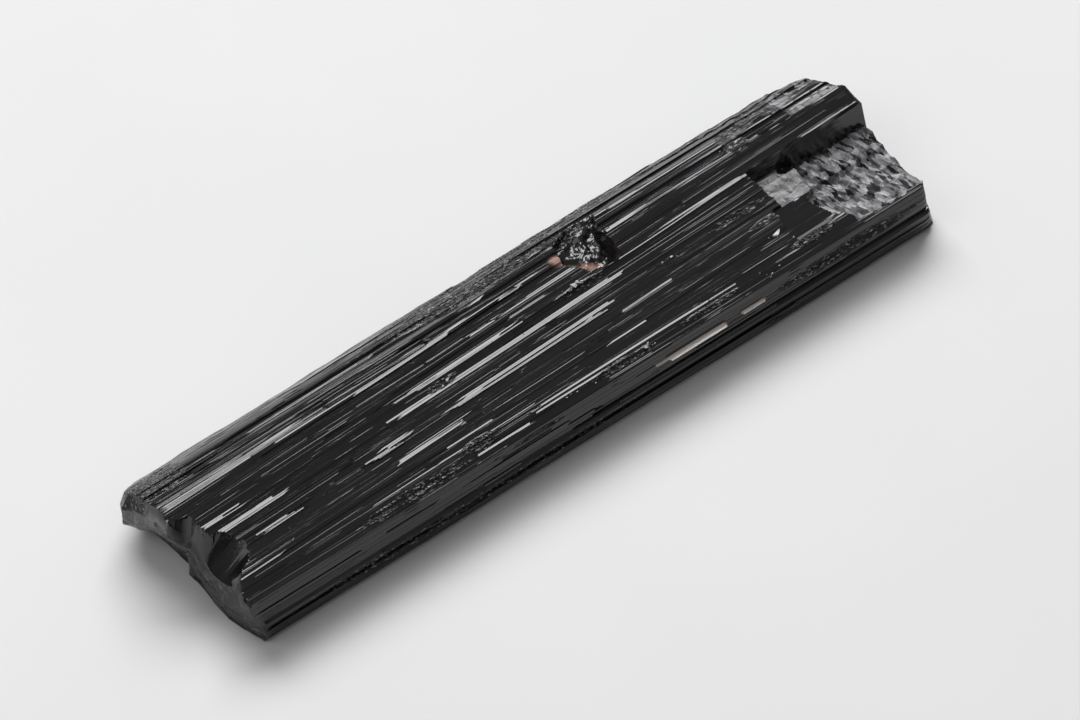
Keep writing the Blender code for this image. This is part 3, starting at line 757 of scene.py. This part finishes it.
def far_face_x(y, z):
    """Where the far end's broken face stands."""
    lean = FAR_LEAN * (1.0 - min(z / FAR_LEAN_TOP, 1.0))
    return blend(FAR_FACE, y) + lean * (1.0 - smooth(y, FAR_LEAN_SIDE))


def near_ceiling(ahead, y):
    """The dark hollow cut across the near end, and the rough top of its back lobe."""
    rough = smooth(y, NEAR_ROUGH_SIDE) * (1.0 - smooth(ahead, NEAR_ROUGH_REACH))
    level = blend(NEAR_RIM, y) + blend(NEAR_CLIMB, y) * ahead
    grit = lump_height(ahead, y, NEAR_LUMPS) + lump_height(ahead, y, NEAR_GRIT)
    return level + rough * grit


def fracture_level(x, y):
    """The rough fracture, which steps down along its middle and climbs to the front shoulder."""
    level = FRACTURE_LEVEL - FRACTURE_FALL * (x - FRACTURE_X)
    level += FRACTURE_STEP * smooth(y, FRACTURE_STEP_SIDE)
    level += STEP_SLOPE * max(blend(FRACTURE_START, y) - x, 0.0)
    level += FRACTURE_FRONT_SLOPE * max(FRACTURE_FRONT_Y - y, 0.0)
    level += lump_height(x + FRACTURE_SKEW * y, FRACTURE_SKEW * y, FRACTURE_LUMPS)
    return level + hackle_height(x, y)


def ledge_ceiling(x, y):
    """The broken ledge at the far end: a smooth tread, a lower dark step, then the fracture."""
    tread = TREAD_LEVEL + TREAD_TILT * y + STEP_SLOPE * max(TREAD_START - TREAD_SLANT * y - x, 0.0)
    tread += STEP_SLOPE * max(TREAD_FRONT_Y - y, 0.0)
    lower = LOWER_FRONT_LEVEL + LOWER_TILT * max(y - LOWER_FRONT_Y, 0.0)
    lower += LOWER_FRONT_SLOPE * max(LOWER_FRONT_Y - y, 0.0)
    lower += STEP_SLOPE * (max(LOWER_START - x, 0.0) + max(y - TREAD_FRONT_Y, 0.0))
    wall = LEDGE_WALL_FOOT + LEDGE_WALL_SLOPE * (y - LEDGE_WALL_Y)
    wall += lump_height(WALL_STRETCH * x, y, WALL_LUMPS)
    away = math.hypot((x - HOLE_CENTRE[0]) / HOLE_REACH[0], (y - HOLE_CENTRE[1]) / HOLE_REACH[1])
    hole = TREAD_LEVEL - HOLE_DEPTH + STEP_SLOPE * max(away - 1.0, 0.0)
    return min(max(min(tread, lower, fracture_level(x, y)), wall), hole)


def pit_ceiling(x, y):
    """The pit broken into the crest."""
    floor = PIT_FLOOR + PIT_TILT * y
    near = PIT_RIM - blend(PIT_NEAR_CLIMB, y) * (x - blend(PIT_NEAR, y))
    far = PIT_RIM + STEP_SLOPE * (x - blend(PIT_FAR, y))
    front = PIT_RIM - PIT_FRONT_CLIMB * (y - PIT_FRONT_Y)
    lumps = lump_height(x, y, PIT_LUMPS) + PIT_HACKLE * hackle_height(x, y)
    return max(floor, near, far, front) + lumps


def plateau_ceiling(x, y):
    """The flattened top of the back ridge beside the far end."""
    level = PLATEAU_LEVEL - PLATEAU_TILT * (y - PLATEAU_SIDE[1])
    level += PLATEAU_SLOPE * max(PLATEAU_START - x, 0.0)
    level += OPEN_HEIGHT * (1.0 - smooth(y, PLATEAU_SIDE))
    return level + lump_height(x, y, PLATEAU_LUMPS)


def chip_depth(x, y):
    """How far the back of the prism is chipped away toward the far end."""
    chipped = CHIP_DEPTH * smooth(x, CHIP_RUN) * smooth(y, CHIP_SIDE)
    notched = NOTCH_DEPTH * smooth(x, NOTCH_RUN) * smooth(y, NOTCH_SIDE)
    return chipped * (1.0 + lump_height(x, y, CHIP_LUMPS)) + notched


def squash(height, ceiling):
    """Bring a height down to a ceiling, keeping a little of it so that corners stay apart."""
    return height if height <= ceiling else ceiling + KEEP * (height - ceiling)


def carve(x, ahead, place):
    """Cut the broken places into one place of the section, and say how deep the cut is."""
    depth = chip_depth(x, place.x) * smooth(place.y, CHIP_HEIGHT)
    y, z = place - CHIP_INWARD * depth
    y -= FRONT_FLARE * smooth(-y, FLARE_SIDE) * smooth(-x, FLARE_RUN)
    whole = z
    z = squash(z, near_ceiling(ahead, y))
    near_cut = whole - z
    for ceiling in (ledge_ceiling, pit_ceiling, plateau_ceiling):
        z = squash(z, ceiling(x, y))
    return Vector((y, max(z, 0.0))), near_cut, whole - z + depth


def fitted_x(x, base):
    """Slide a row so that the first and last rows lie on the broken end faces."""
    near_share = 1.0 - smooth(x, (NEAR_X, NEAR_X + FACE_FIT))
    far_share = smooth(x, (FAR_X - FACE_FIT, FAR_X))
    near_shift = near_face_x(base.x, base.y) - NEAR_X
    far_shift = far_face_x(base.x, base.y) - FAR_X
    return x + near_share * near_shift + far_share * far_shift


def skin_line(outline, rib, share, rows):
    """One edge of a fine rib as (point, broken, worn, mineral) from the near end to the far."""
    line = []
    for row in rows:
        girth = rib.girth(share, row)
        x = fitted_x(row, outline.point(girth))
        ahead = x - line[0][0].x if line else 0.0
        girth = rib.girth(share, x)
        lift = rib.lift(share, x)
        if rib.underside:
            place = outline.point(girth) - Vector((0.0, lift))
            line.append((Vector((x, place.x, place.y)), 0.0, 0.0, 0.0))
            continue
        wear = lump_height(x, girth, EDGE_WEAR) * smooth(girth, EDGE_WEAR_GIRTH)
        lift = (lift + wear) * smooth(ahead, RIB_FADE) - far_round(x, outline.point(girth))
        place, near_cut, cut = carve(x, ahead, outline.point(girth) + lift * outline.outward(girth))
        broken, worn = finish_and_sheen_shares(x, place.x, near_cut, cut)
        worn = max([worn] + [patch_wear(patch, x, girth) for patch in WORN_PATCHES])
        mineral = mineral_share(rib, x, place.x)
        line.append((Vector((x, place.x, place.y)), broken, worn, mineral))
    return line


def far_round(x, base):
    """How far the rim of the far end is rounded off at one place."""
    inward = min(max((far_face_x(base.x, base.y) - x) / FAR_ROUND_REACH, 0.0), 1.0)
    return FAR_ROUND_DEPTH * (1.0 - math.sqrt(1.0 - (1.0 - inward) ** 2))


def mineral_share(rib, x, y):
    """How much of another mineral covers a place: the warm ledge, or the stain by the pit."""
    if rib.warm and rib.on_tread(x):
        return LEDGE_SHARE
    place = Vector((x, y))
    share = geometry.intersect_point_line(place, *STAIN_LINE)[1]
    nearest = STAIN_LINE[0].lerp(STAIN_LINE[1], min(max(share, 0.0), 1.0))
    away = (place - nearest).length
    return STAIN_SHARE * (1.0 - smooth(away, STAIN_FADE))


def patch_wear(patch, x, girth):
    """How worn a place is, falling off from the middle of a patch to its edge."""
    away = math.hypot((x - patch.x) / patch.reach, (girth - patch.girth) / patch.spread)
    return patch.strength * (1.0 - smooth(away, WEAR_FADE))


def finish_and_sheen_shares(x, y, near_cut, cut):
    """How broken a place is, which also sets its painted silvery sheen, and how dully worn, each 0
    to 1.
    """
    if near_cut > HOLLOW_CUT:
        return 0.0, HOLLOW_WORN + LOBE_WORN * smooth(y, NEAR_ROUGH_SIDE)
    in_pit = PIT_NEAR[-3][1] < x < PIT_FAR[-1][1] and y > PIT_FRONT_Y - STEP_MARGIN
    if cut < SKIN_CUT or in_pit:
        return GLOSSY
    if x > blend(FRACTURE_START, y) - FRACTURE_MARGIN and y < LEDGE_WALL_Y - WALL_MARGIN:
        return FRACTURE_FINISH_AND_SHEEN
    if x > TREAD_START - STEP_MARGIN and TREAD_FRONT_Y < y < LEDGE_WALL_Y:
        return TREAD_FINISH_AND_SHEEN
    if y > PLATEAU_SIDE[0] and x > CHIP_RUN[0]:
        return PLATEAU_FINISH_AND_SHEEN if x > PLATEAU_START else CHIP_FINISH_AND_SHEEN
    return OTHER_FINISH


def skin_rows(outline, fine_ribs):
    """Every ring of (point, broken, worn, mineral), from the near end to the far end."""
    rows = base_rows()
    lines = []
    for fine_rib in fine_ribs:
        own_rows = column_rows(fine_rib, rows)
        lines += [skin_line(outline, fine_rib, share, own_rows) for share in (0.0, 1.0)]
    return list(zip(*lines))


def skin_faces(ring_count, around):
    """Quads between neighbouring rings."""
    faces = []
    for start in range(0, (ring_count - 1) * around, around):
        for line in range(around):
            near_a, near_b = start + line, start + (line + 1) % around
            faces.append((near_a, near_a + around, near_b + around, near_b))
    return faces


def is_inside(place, ring):
    """Whether a place is inside a ring, by counting how often the ring passes beside it."""
    crossings = 0
    for first, second in zip(ring, ring[1:] + ring[:1]):
        if (first.y > place.y) != (second.y > place.y):
            share = (place.y - first.y) / (second.y - first.y)
            if first.x + share * (second.x - first.x) > place.x:
                crossings += 1
    return crossings % 2 == 1


def inner_places(ring):
    """Evenly spaced places inside a ring, kept clear of the ring itself."""
    places = []
    for y in spaced(min(place.x for place in ring), max(place.x for place in ring), END_SPACING):
        for z in spaced(END_SPACING, CREST_HEIGHT, END_SPACING):
            place = Vector((y, z))
            clearance = min((place - corner).length for corner in ring)
            if clearance > END_CLEARANCE and is_inside(place, ring):
                places.append(place)
    return places


def end_dent(y, z):
    """How far the broken end face is dented at one place."""
    return abs(lump_height(y, z, END_LUMPS)) + abs(lump_height(y, z, GRIT_LUMPS))


def end_face(ring, face_x, outward):
    """Close one end: its new inner points, and its triangles as indices into ring plus inner."""
    flat_ring = [Vector((corner.y, corner.z)) for corner in ring]
    inner = inner_places(flat_ring)
    loop = [tuple(range(len(ring)))]
    joined = geometry.delaunay_2d_cdt(flat_ring + inner, [], loop, INSIDE_ONLY, MERGE_DISTANCE)
    faces, origins = joined[2:4]
    added = []
    for place in inner:
        x = face_x(place.x, place.y) - outward * end_dent(place.x, place.y)
        added.append(Vector((x, place.x, place.y)))
    triangles = []
    for face in faces:
        corners = [origins[corner][0] for corner in face if origins[corner]]
        if len(corners) == 3:
            triangles.append(corners if outward > 0 else corners[::-1])
    return added, triangles


def close_end(vertices, faces, ring, ring_start, face_x, outward):
    """Add one end face to the whole crystal's vertices and faces."""
    added, triangles = end_face(ring, face_x, outward)
    around = len(ring)
    inner_start = len(vertices) - around
    for triangle in triangles:
        faces.append([ring_start + i if i < around else inner_start + i for i in triangle])
    vertices += added


def build_crystal():
    """The crystal's vertices, its faces, and the layers of values on its vertices."""
    outline = Outline(SIDES)
    rings = skin_rows(outline, make_fine_ribs(outline))
    around = len(rings[0])
    vertices = [corner[0] for ring in rings for corner in ring]
    layers = {name: [corner[place] for ring in rings for corner in ring]
              for place, name in enumerate(END_VALUES, 1)}
    faces = skin_faces(len(rings), around)
    last_start = len(vertices) - around
    close_end(vertices, faces, [corner[0] for corner in rings[0]], 0, near_face_x, -1)
    close_end(vertices, faces, [corner[0] for corner in rings[-1]], last_start, far_face_x, 1)
    added = len(vertices) - len(rings) * around
    for name, value in END_VALUES.items():
        layers[name] += [value] * added
    return vertices, faces, layers


def placed(vertices):
    """Put the crystal where the CAD solid is: same middle, same base, in metres."""
    lows = [min(corner[axis] for corner in vertices) for axis in range(3)]
    highs = [max(corner[axis] for corner in vertices) for axis in range(3)]
    cad_low, cad_high = Vector(cad_box[0]), Vector(cad_box[1])
    middle = Vector(((lows[0] + highs[0]) / 2, (lows[1] + highs[1]) / 2, lows[2]))
    cad_middle = (cad_low + cad_high) / 2
    cad_middle.z = cad_low.z
    return [(corner - middle) * MM + cad_middle for corner in vertices]


def shade(mesh, worn):
    """Flat faces everywhere, but smooth ones in the dark hollow."""
    soft = [value == HOLLOW_WORN for value in worn]
    smooth_faces = [all(soft[corner] for corner in face.vertices) for face in mesh.polygons]
    mesh.polygons.foreach_set("use_smooth", smooth_faces)


def add_layer(mesh, name, values):
    layer = mesh.attributes.new(name, "FLOAT", "POINT")
    layer.data.foreach_set("value", values)


def add_piece(name, mesh, material):
    """Put a mesh into the scene as an object with one material."""
    mesh.materials.append(material)
    piece = bpy.data.objects.new(name, mesh)
    bpy.context.scene.collection.objects.link(piece)
    return piece


def add_crystal():
    """The crystal's skin, finely ribbed, over the whole of the solid."""
    vertices, faces, layers = build_crystal()
    mesh = bpy.data.meshes.new("tourmaline_crystal")
    mesh.from_pydata(placed(vertices), [], faces)
    mesh.update()
    for name, values in layers.items():
        add_layer(mesh, name, values)
    shade(mesh, layers[WORN_LAYER])
    return add_piece("tourmaline_crystal", mesh, stone_material())


def add_shard(solid, place, size, rng):
    """One angular chip: the hull of a few random corners."""
    corners = []
    for _ in range(SHARD_CORNERS):
        jolt = Vector([rng.uniform(-reach, reach) for reach in SHARD_REACH])
        corners.append(solid.verts.new(place + jolt * size * MM))
    hull = bmesh.ops.convex_hull(solid, input=corners)
    bmesh.ops.delete(solid, geom=hull["geom_interior"], context="VERTS")


def add_crumbs(crystal):
    """Tiny pale chips of stone that lie in the grooves, each with smaller bits round it."""
    tree = bvhtree.BVHTree.FromObject(crystal, bpy.context.evaluated_depsgraph_get())
    rng = random.Random(CRUMB_SEED)
    solid = bmesh.new()
    for x, y, size in CRUMBS:
        bits = [(x, y, size)]
        for _ in range(CRUMB_BITS):
            shift_x, shift_y = rng.gauss(0.0, BIT_SPREAD[0]), rng.gauss(0.0, BIT_SPREAD[1])
            bits.append((x + shift_x, y + shift_y, BIT_SIZE * rng.uniform(*BIT_SHARES)))
        for bit_x, bit_y, bit_size in bits:
            above = Vector((bit_x + CRUMB_SHIFT[0], bit_y + CRUMB_SHIFT[1], CRUMB_DROP)) * MM
            ground = tree.ray_cast(above, Vector((0.0, 0.0, -1.0)))[0]
            if ground:
                raised = ground + Vector((0.0, 0.0, SHARD_LIFT * bit_size * MM))
                add_shard(solid, raised, bit_size, rng)
    mesh = bpy.data.meshes.new("crumbs")
    solid.to_mesh(mesh)
    solid.free()
    return add_piece("crumbs", mesh, toned_material(PALE_CHIPS))


def feed(tree, socket, value):
    """Join a socket to another one, or set it to a plain value."""
    if isinstance(value, bpy.types.NodeSocket):
        tree.links.new(value, socket)
    else:
        socket.default_value = value


def set_ranges(node, source, target):
    """Set a Map Range node to map one range to another."""
    for name, number in zip(("From Min", "From Max", "To Min", "To Max"), source + target):
        node.inputs[name].default_value = number


class Nodes:
    """Short ways to add and join shader nodes."""

    def __init__(self, name):
        self.material = bpy.data.materials.new(name)
        self.material.use_nodes = True
        self.tree = self.material.node_tree
        self.surface = self.tree.nodes["Principled BSDF"]

    def add(self, kind, **sockets):
        """Add a node; each keyword sets or joins the socket of that name."""
        node = self.tree.nodes.new(kind)
        for name, value in sockets.items():
            self.give(node, name.replace("_", " "), value)
        return node

    def give(self, node, name, value):
        feed(self.tree, node.inputs[name], value)

    def stretched_noise(self, stretch, detail=2.0, roughness=0.5):
        """Noise whose grain is `stretch` cells per metre along X, Y and Z."""
        place = self.add("ShaderNodeTexCoord").outputs["Object"]
        mapping = self.add("ShaderNodeMapping", Vector=place, Scale=stretch)
        grain = self.add("ShaderNodeTexNoise", Vector=mapping.outputs["Vector"],
                         Scale=1.0, Detail=detail, Roughness=roughness)
        return grain.outputs["Fac"]

    def layer(self, name):
        """A value stored on the mesh's corners."""
        node = self.tree.nodes.new("ShaderNodeAttribute")
        node.attribute_name = name
        return node.outputs["Fac"]

    def cells(self, place, stretch):
        """Cells that fill space, `stretch` of them per metre along X, Y and Z."""
        mapping = self.add("ShaderNodeMapping", Vector=place, Scale=stretch)
        return self.add("ShaderNodeTexVoronoi", Vector=mapping.outputs["Vector"], Scale=1.0)

    def grains(self, skew, stretch):
        """A random value for each cell; the cells are turned about Z, then stretched."""
        place = self.add("ShaderNodeTexCoord").outputs["Object"]
        turned = self.add("ShaderNodeMapping", Vector=place, Rotation=(0.0, 0.0, skew))
        cells = self.cells(turned.outputs["Vector"], stretch)
        split = self.add("ShaderNodeSeparateColor", Color=cells.outputs["Color"])
        return split.outputs["Red"]

    def facets(self, stretch):
        """A field of little cones, one to a cell."""
        place = self.add("ShaderNodeTexCoord").outputs["Object"]
        return self.cells(place, stretch).outputs["Distance"]

    def mix_colour(self, share, first, second):
        """Mix two colours, through the Mix node's own pair of colour sockets."""
        node = self.tree.nodes.new("ShaderNodeMix")
        node.data_type = "RGBA"
        self.give(node, "Factor", share)
        for socket, value in zip(node.inputs[6:8], (first, second)):
            feed(self.tree, socket, value)
        return node.outputs[2]

    def ranged(self, value, source=WHOLE, target=WHOLE):
        """Map a varying value from one range to another."""
        node = self.add("ShaderNodeMapRange", Value=value)
        set_ranges(node, source, target)
        return node.outputs["Result"]

    def math(self, operation, first, second):
        node = self.tree.nodes.new("ShaderNodeMath")
        node.operation = operation
        for socket, value in zip(node.inputs, (first, second)):
            feed(self.tree, socket, value)
        return node.outputs["Value"]

    def colour_ramp(self, value, stops, colours):
        """Turn a value into a colour between two colours."""
        ramp = self.add("ShaderNodeValToRGB", Fac=value)
        for element, position, colour in zip(ramp.color_ramp.elements, stops, colours):
            element.position = position
            element.color = colour
        return ramp.outputs["Color"]

    def bump(self, height, distance, below=None):
        """Relief of a height field, on top of any relief below it."""
        node = self.add("ShaderNodeBump", Height=height, Distance=distance)
        if below:
            self.tree.links.new(below, node.inputs["Normal"])
        return node.outputs["Normal"]


def stone_relief(nodes, broken, worn, grains):
    """Streaks along the prism, little chips where it is worn, and grain where it is broken."""
    grit = nodes.stretched_noise(*GRIT_NOISE)
    reliefs = (
        (nodes.stretched_noise(STREAK_GRAIN), STREAK_DEPTH),
        (nodes.stretched_noise(HAIR_GRAIN), HAIR_DEPTH),
        (nodes.math("MULTIPLY", worn, nodes.facets(SPECK_GRAIN)), WORN_DEPTH),
        (nodes.math("MULTIPLY", broken, grains), GRAIN_DEPTH),
        (nodes.math("MULTIPLY", broken, grit), GRIT_DEPTH),
    )
    normal = None
    for height, depth in reliefs:
        normal = nodes.bump(height, depth, normal)
    return normal


def stone_colour(nodes, broken, worn, grains):
    """Black, speckled where it is worn, painted silvery grey where broken as a sheen, and crusted
    by a pale mineral.
    """
    specks = nodes.grains(0.0, SPECK_GRAIN)
    # Painted sheen: pale grey grains where the stone is broken stand in for the silvery reflection
    # of the light on the fracture.
    grey = nodes.colour_ramp(grains, GRAIN_STOPS, (GRAIN_DARK, PAINTED_SHEEN_GREY))
    speck = nodes.colour_ramp(specks, SPECK_STOPS, (DUST, SPECK_PALE))
    colour = nodes.mix_colour(worn, STONE_BLACK, speck)
    colour = nodes.mix_colour(broken, colour, grey)
    mineral = nodes.layer(MINERAL_LAYER)
    crust = nodes.colour_ramp(mineral, MINERAL_STOPS, (STAIN_BROWN, LEDGE_PALE))
    return nodes.mix_colour(nodes.ranged(mineral, MINERAL_RANGE), colour, crust)


def stone_material():
    """Black glassy tourmaline, with a painted silvery grey sheen where broken, and dull where worn.
    """
    nodes = Nodes("tourmaline")
    patches = nodes.stretched_noise(*PATCH_NOISE)
    uneven = nodes.ranged(patches, PATCH_RANGE, PATCH_SHARES)
    broken = nodes.math("MULTIPLY", nodes.layer(BROKEN_AND_SHEEN_LAYER), uneven)
    broken = nodes.ranged(broken, BROKEN_RANGE)
    worn = nodes.math("MULTIPLY", nodes.layer(WORN_LAYER), uneven)
    worn = nodes.ranged(worn, WORN_RANGE)
    grains = nodes.grains(BROKEN_SKEW, BROKEN_GRAIN)
    nodes.give(nodes.surface, "Base Color", stone_colour(nodes, broken, worn, grains))

    gloss = nodes.ranged(patches, GLOSS_RANGE, GLOSS)
    gloss = nodes.math("ADD", gloss, nodes.ranged(worn, target=WORN_DULLNESS))
    gloss = nodes.math("ADD", gloss, nodes.ranged(broken, target=BROKEN_DULLNESS))
    nodes.give(nodes.surface, "Roughness", gloss)
    nodes.give(nodes.surface, "IOR", STONE_IOR)
    damage = nodes.math("MAXIMUM", worn, broken)
    nodes.give(nodes.surface, "Specular IOR Level", nodes.ranged(damage, target=SPECULAR))
    nodes.give(nodes.surface, "Normal", stone_relief(nodes, broken, worn, grains))
    return nodes.material


def toned_material(look):
    """A plain material that varies between two tones."""
    nodes = Nodes(look.name)
    tone = nodes.stretched_noise(look.grain, look.detail)
    nodes.give(nodes.surface, "Base Color", nodes.colour_ramp(tone, look.stops, look.tones))
    nodes.give(nodes.surface, "Roughness", look.roughness)
    return nodes.material


def add_floor():
    """A square of flat ground under the crystal."""
    half = FLOOR_WIDTH / 2
    corners = [(-half, -half, 0.0), (half, -half, 0.0), (half, half, 0.0), (-half, half, 0.0)]
    mesh = bpy.data.meshes.new("floor")
    mesh.from_pydata(corners, [], [(0, 1, 2, 3)])
    mesh.update()
    return add_piece("floor", mesh, toned_material(PALE_GROUND))


def direction(azimuth, elevation):
    """Unit vector toward an azimuth from +Y toward +X and an elevation, in degrees."""
    around, up = math.radians(azimuth), math.radians(elevation)
    return Vector((math.sin(around) * math.cos(up), math.cos(around) * math.cos(up), math.sin(up)))


def add_softbox(name, box):
    """A rectangular light that faces the crystal."""
    light = bpy.data.lights.new(name, "AREA")
    light.shape = "RECTANGLE"
    light.size = box.width
    light.size_y = box.height
    light.energy = box.power
    light.color = box.colour
    softbox = bpy.data.objects.new(name, light)
    toward = direction(box.azimuth, box.elevation)
    softbox.location = toward * box.distance
    softbox.rotation_euler = toward.to_track_quat("Z", "Y").to_euler()
    bpy.context.scene.collection.objects.link(softbox)


def add_world():
    """A dim even room, darker toward the horizon."""
    world = bpy.data.worlds.new("studio")
    bpy.context.scene.world = world
    world.use_nodes = True
    background = world.node_tree.nodes["Background"]
    background.inputs["Color"].default_value = SKY_COLOUR
    place = world.node_tree.nodes.new("ShaderNodeTexCoord")
    split = world.node_tree.nodes.new("ShaderNodeSeparateXYZ")
    rise = world.node_tree.nodes.new("ShaderNodeMapRange")
    set_ranges(rise, SKY_RISE, SKY_STRENGTHS)
    world.node_tree.links.new(place.outputs["Generated"], split.inputs["Vector"])
    world.node_tree.links.new(split.outputs["Z"], rise.inputs["Value"])
    world.node_tree.links.new(rise.outputs["Result"], background.inputs["Strength"])


def add_camera():
    """A long lens, set back until the view is as wide as it should be."""
    toward = direction(CAMERA_AZIMUTH, CAMERA_ELEVATION)
    lens = bpy.data.cameras.new("camera")
    lens.lens = CAMERA_LENS
    lens.sensor_width = CAMERA_SENSOR
    lens.clip_start = CAMERA_NEAREST
    camera = bpy.data.objects.new("camera", lens)
    camera.location = CAMERA_TARGET * MM + toward * CAMERA_LENS / CAMERA_SENSOR * VIEW_WIDTH * MM
    camera.rotation_euler = toward.to_track_quat("Z", "Y").to_euler()
    bpy.context.scene.collection.objects.link(camera)
    bpy.context.scene.camera = camera


def main():
    bpy.context.scene.view_settings.view_transform = "Standard"
    crystal = add_crystal()
    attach(crystal, "root")
    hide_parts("crystal")
    crumbs = add_crumbs(crystal)
    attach(crumbs, "root")
    add_floor()
    add_world()
    add_softbox("softbox", KEY)
    add_softbox("side_fill", FILL)
    add_camera()


main()
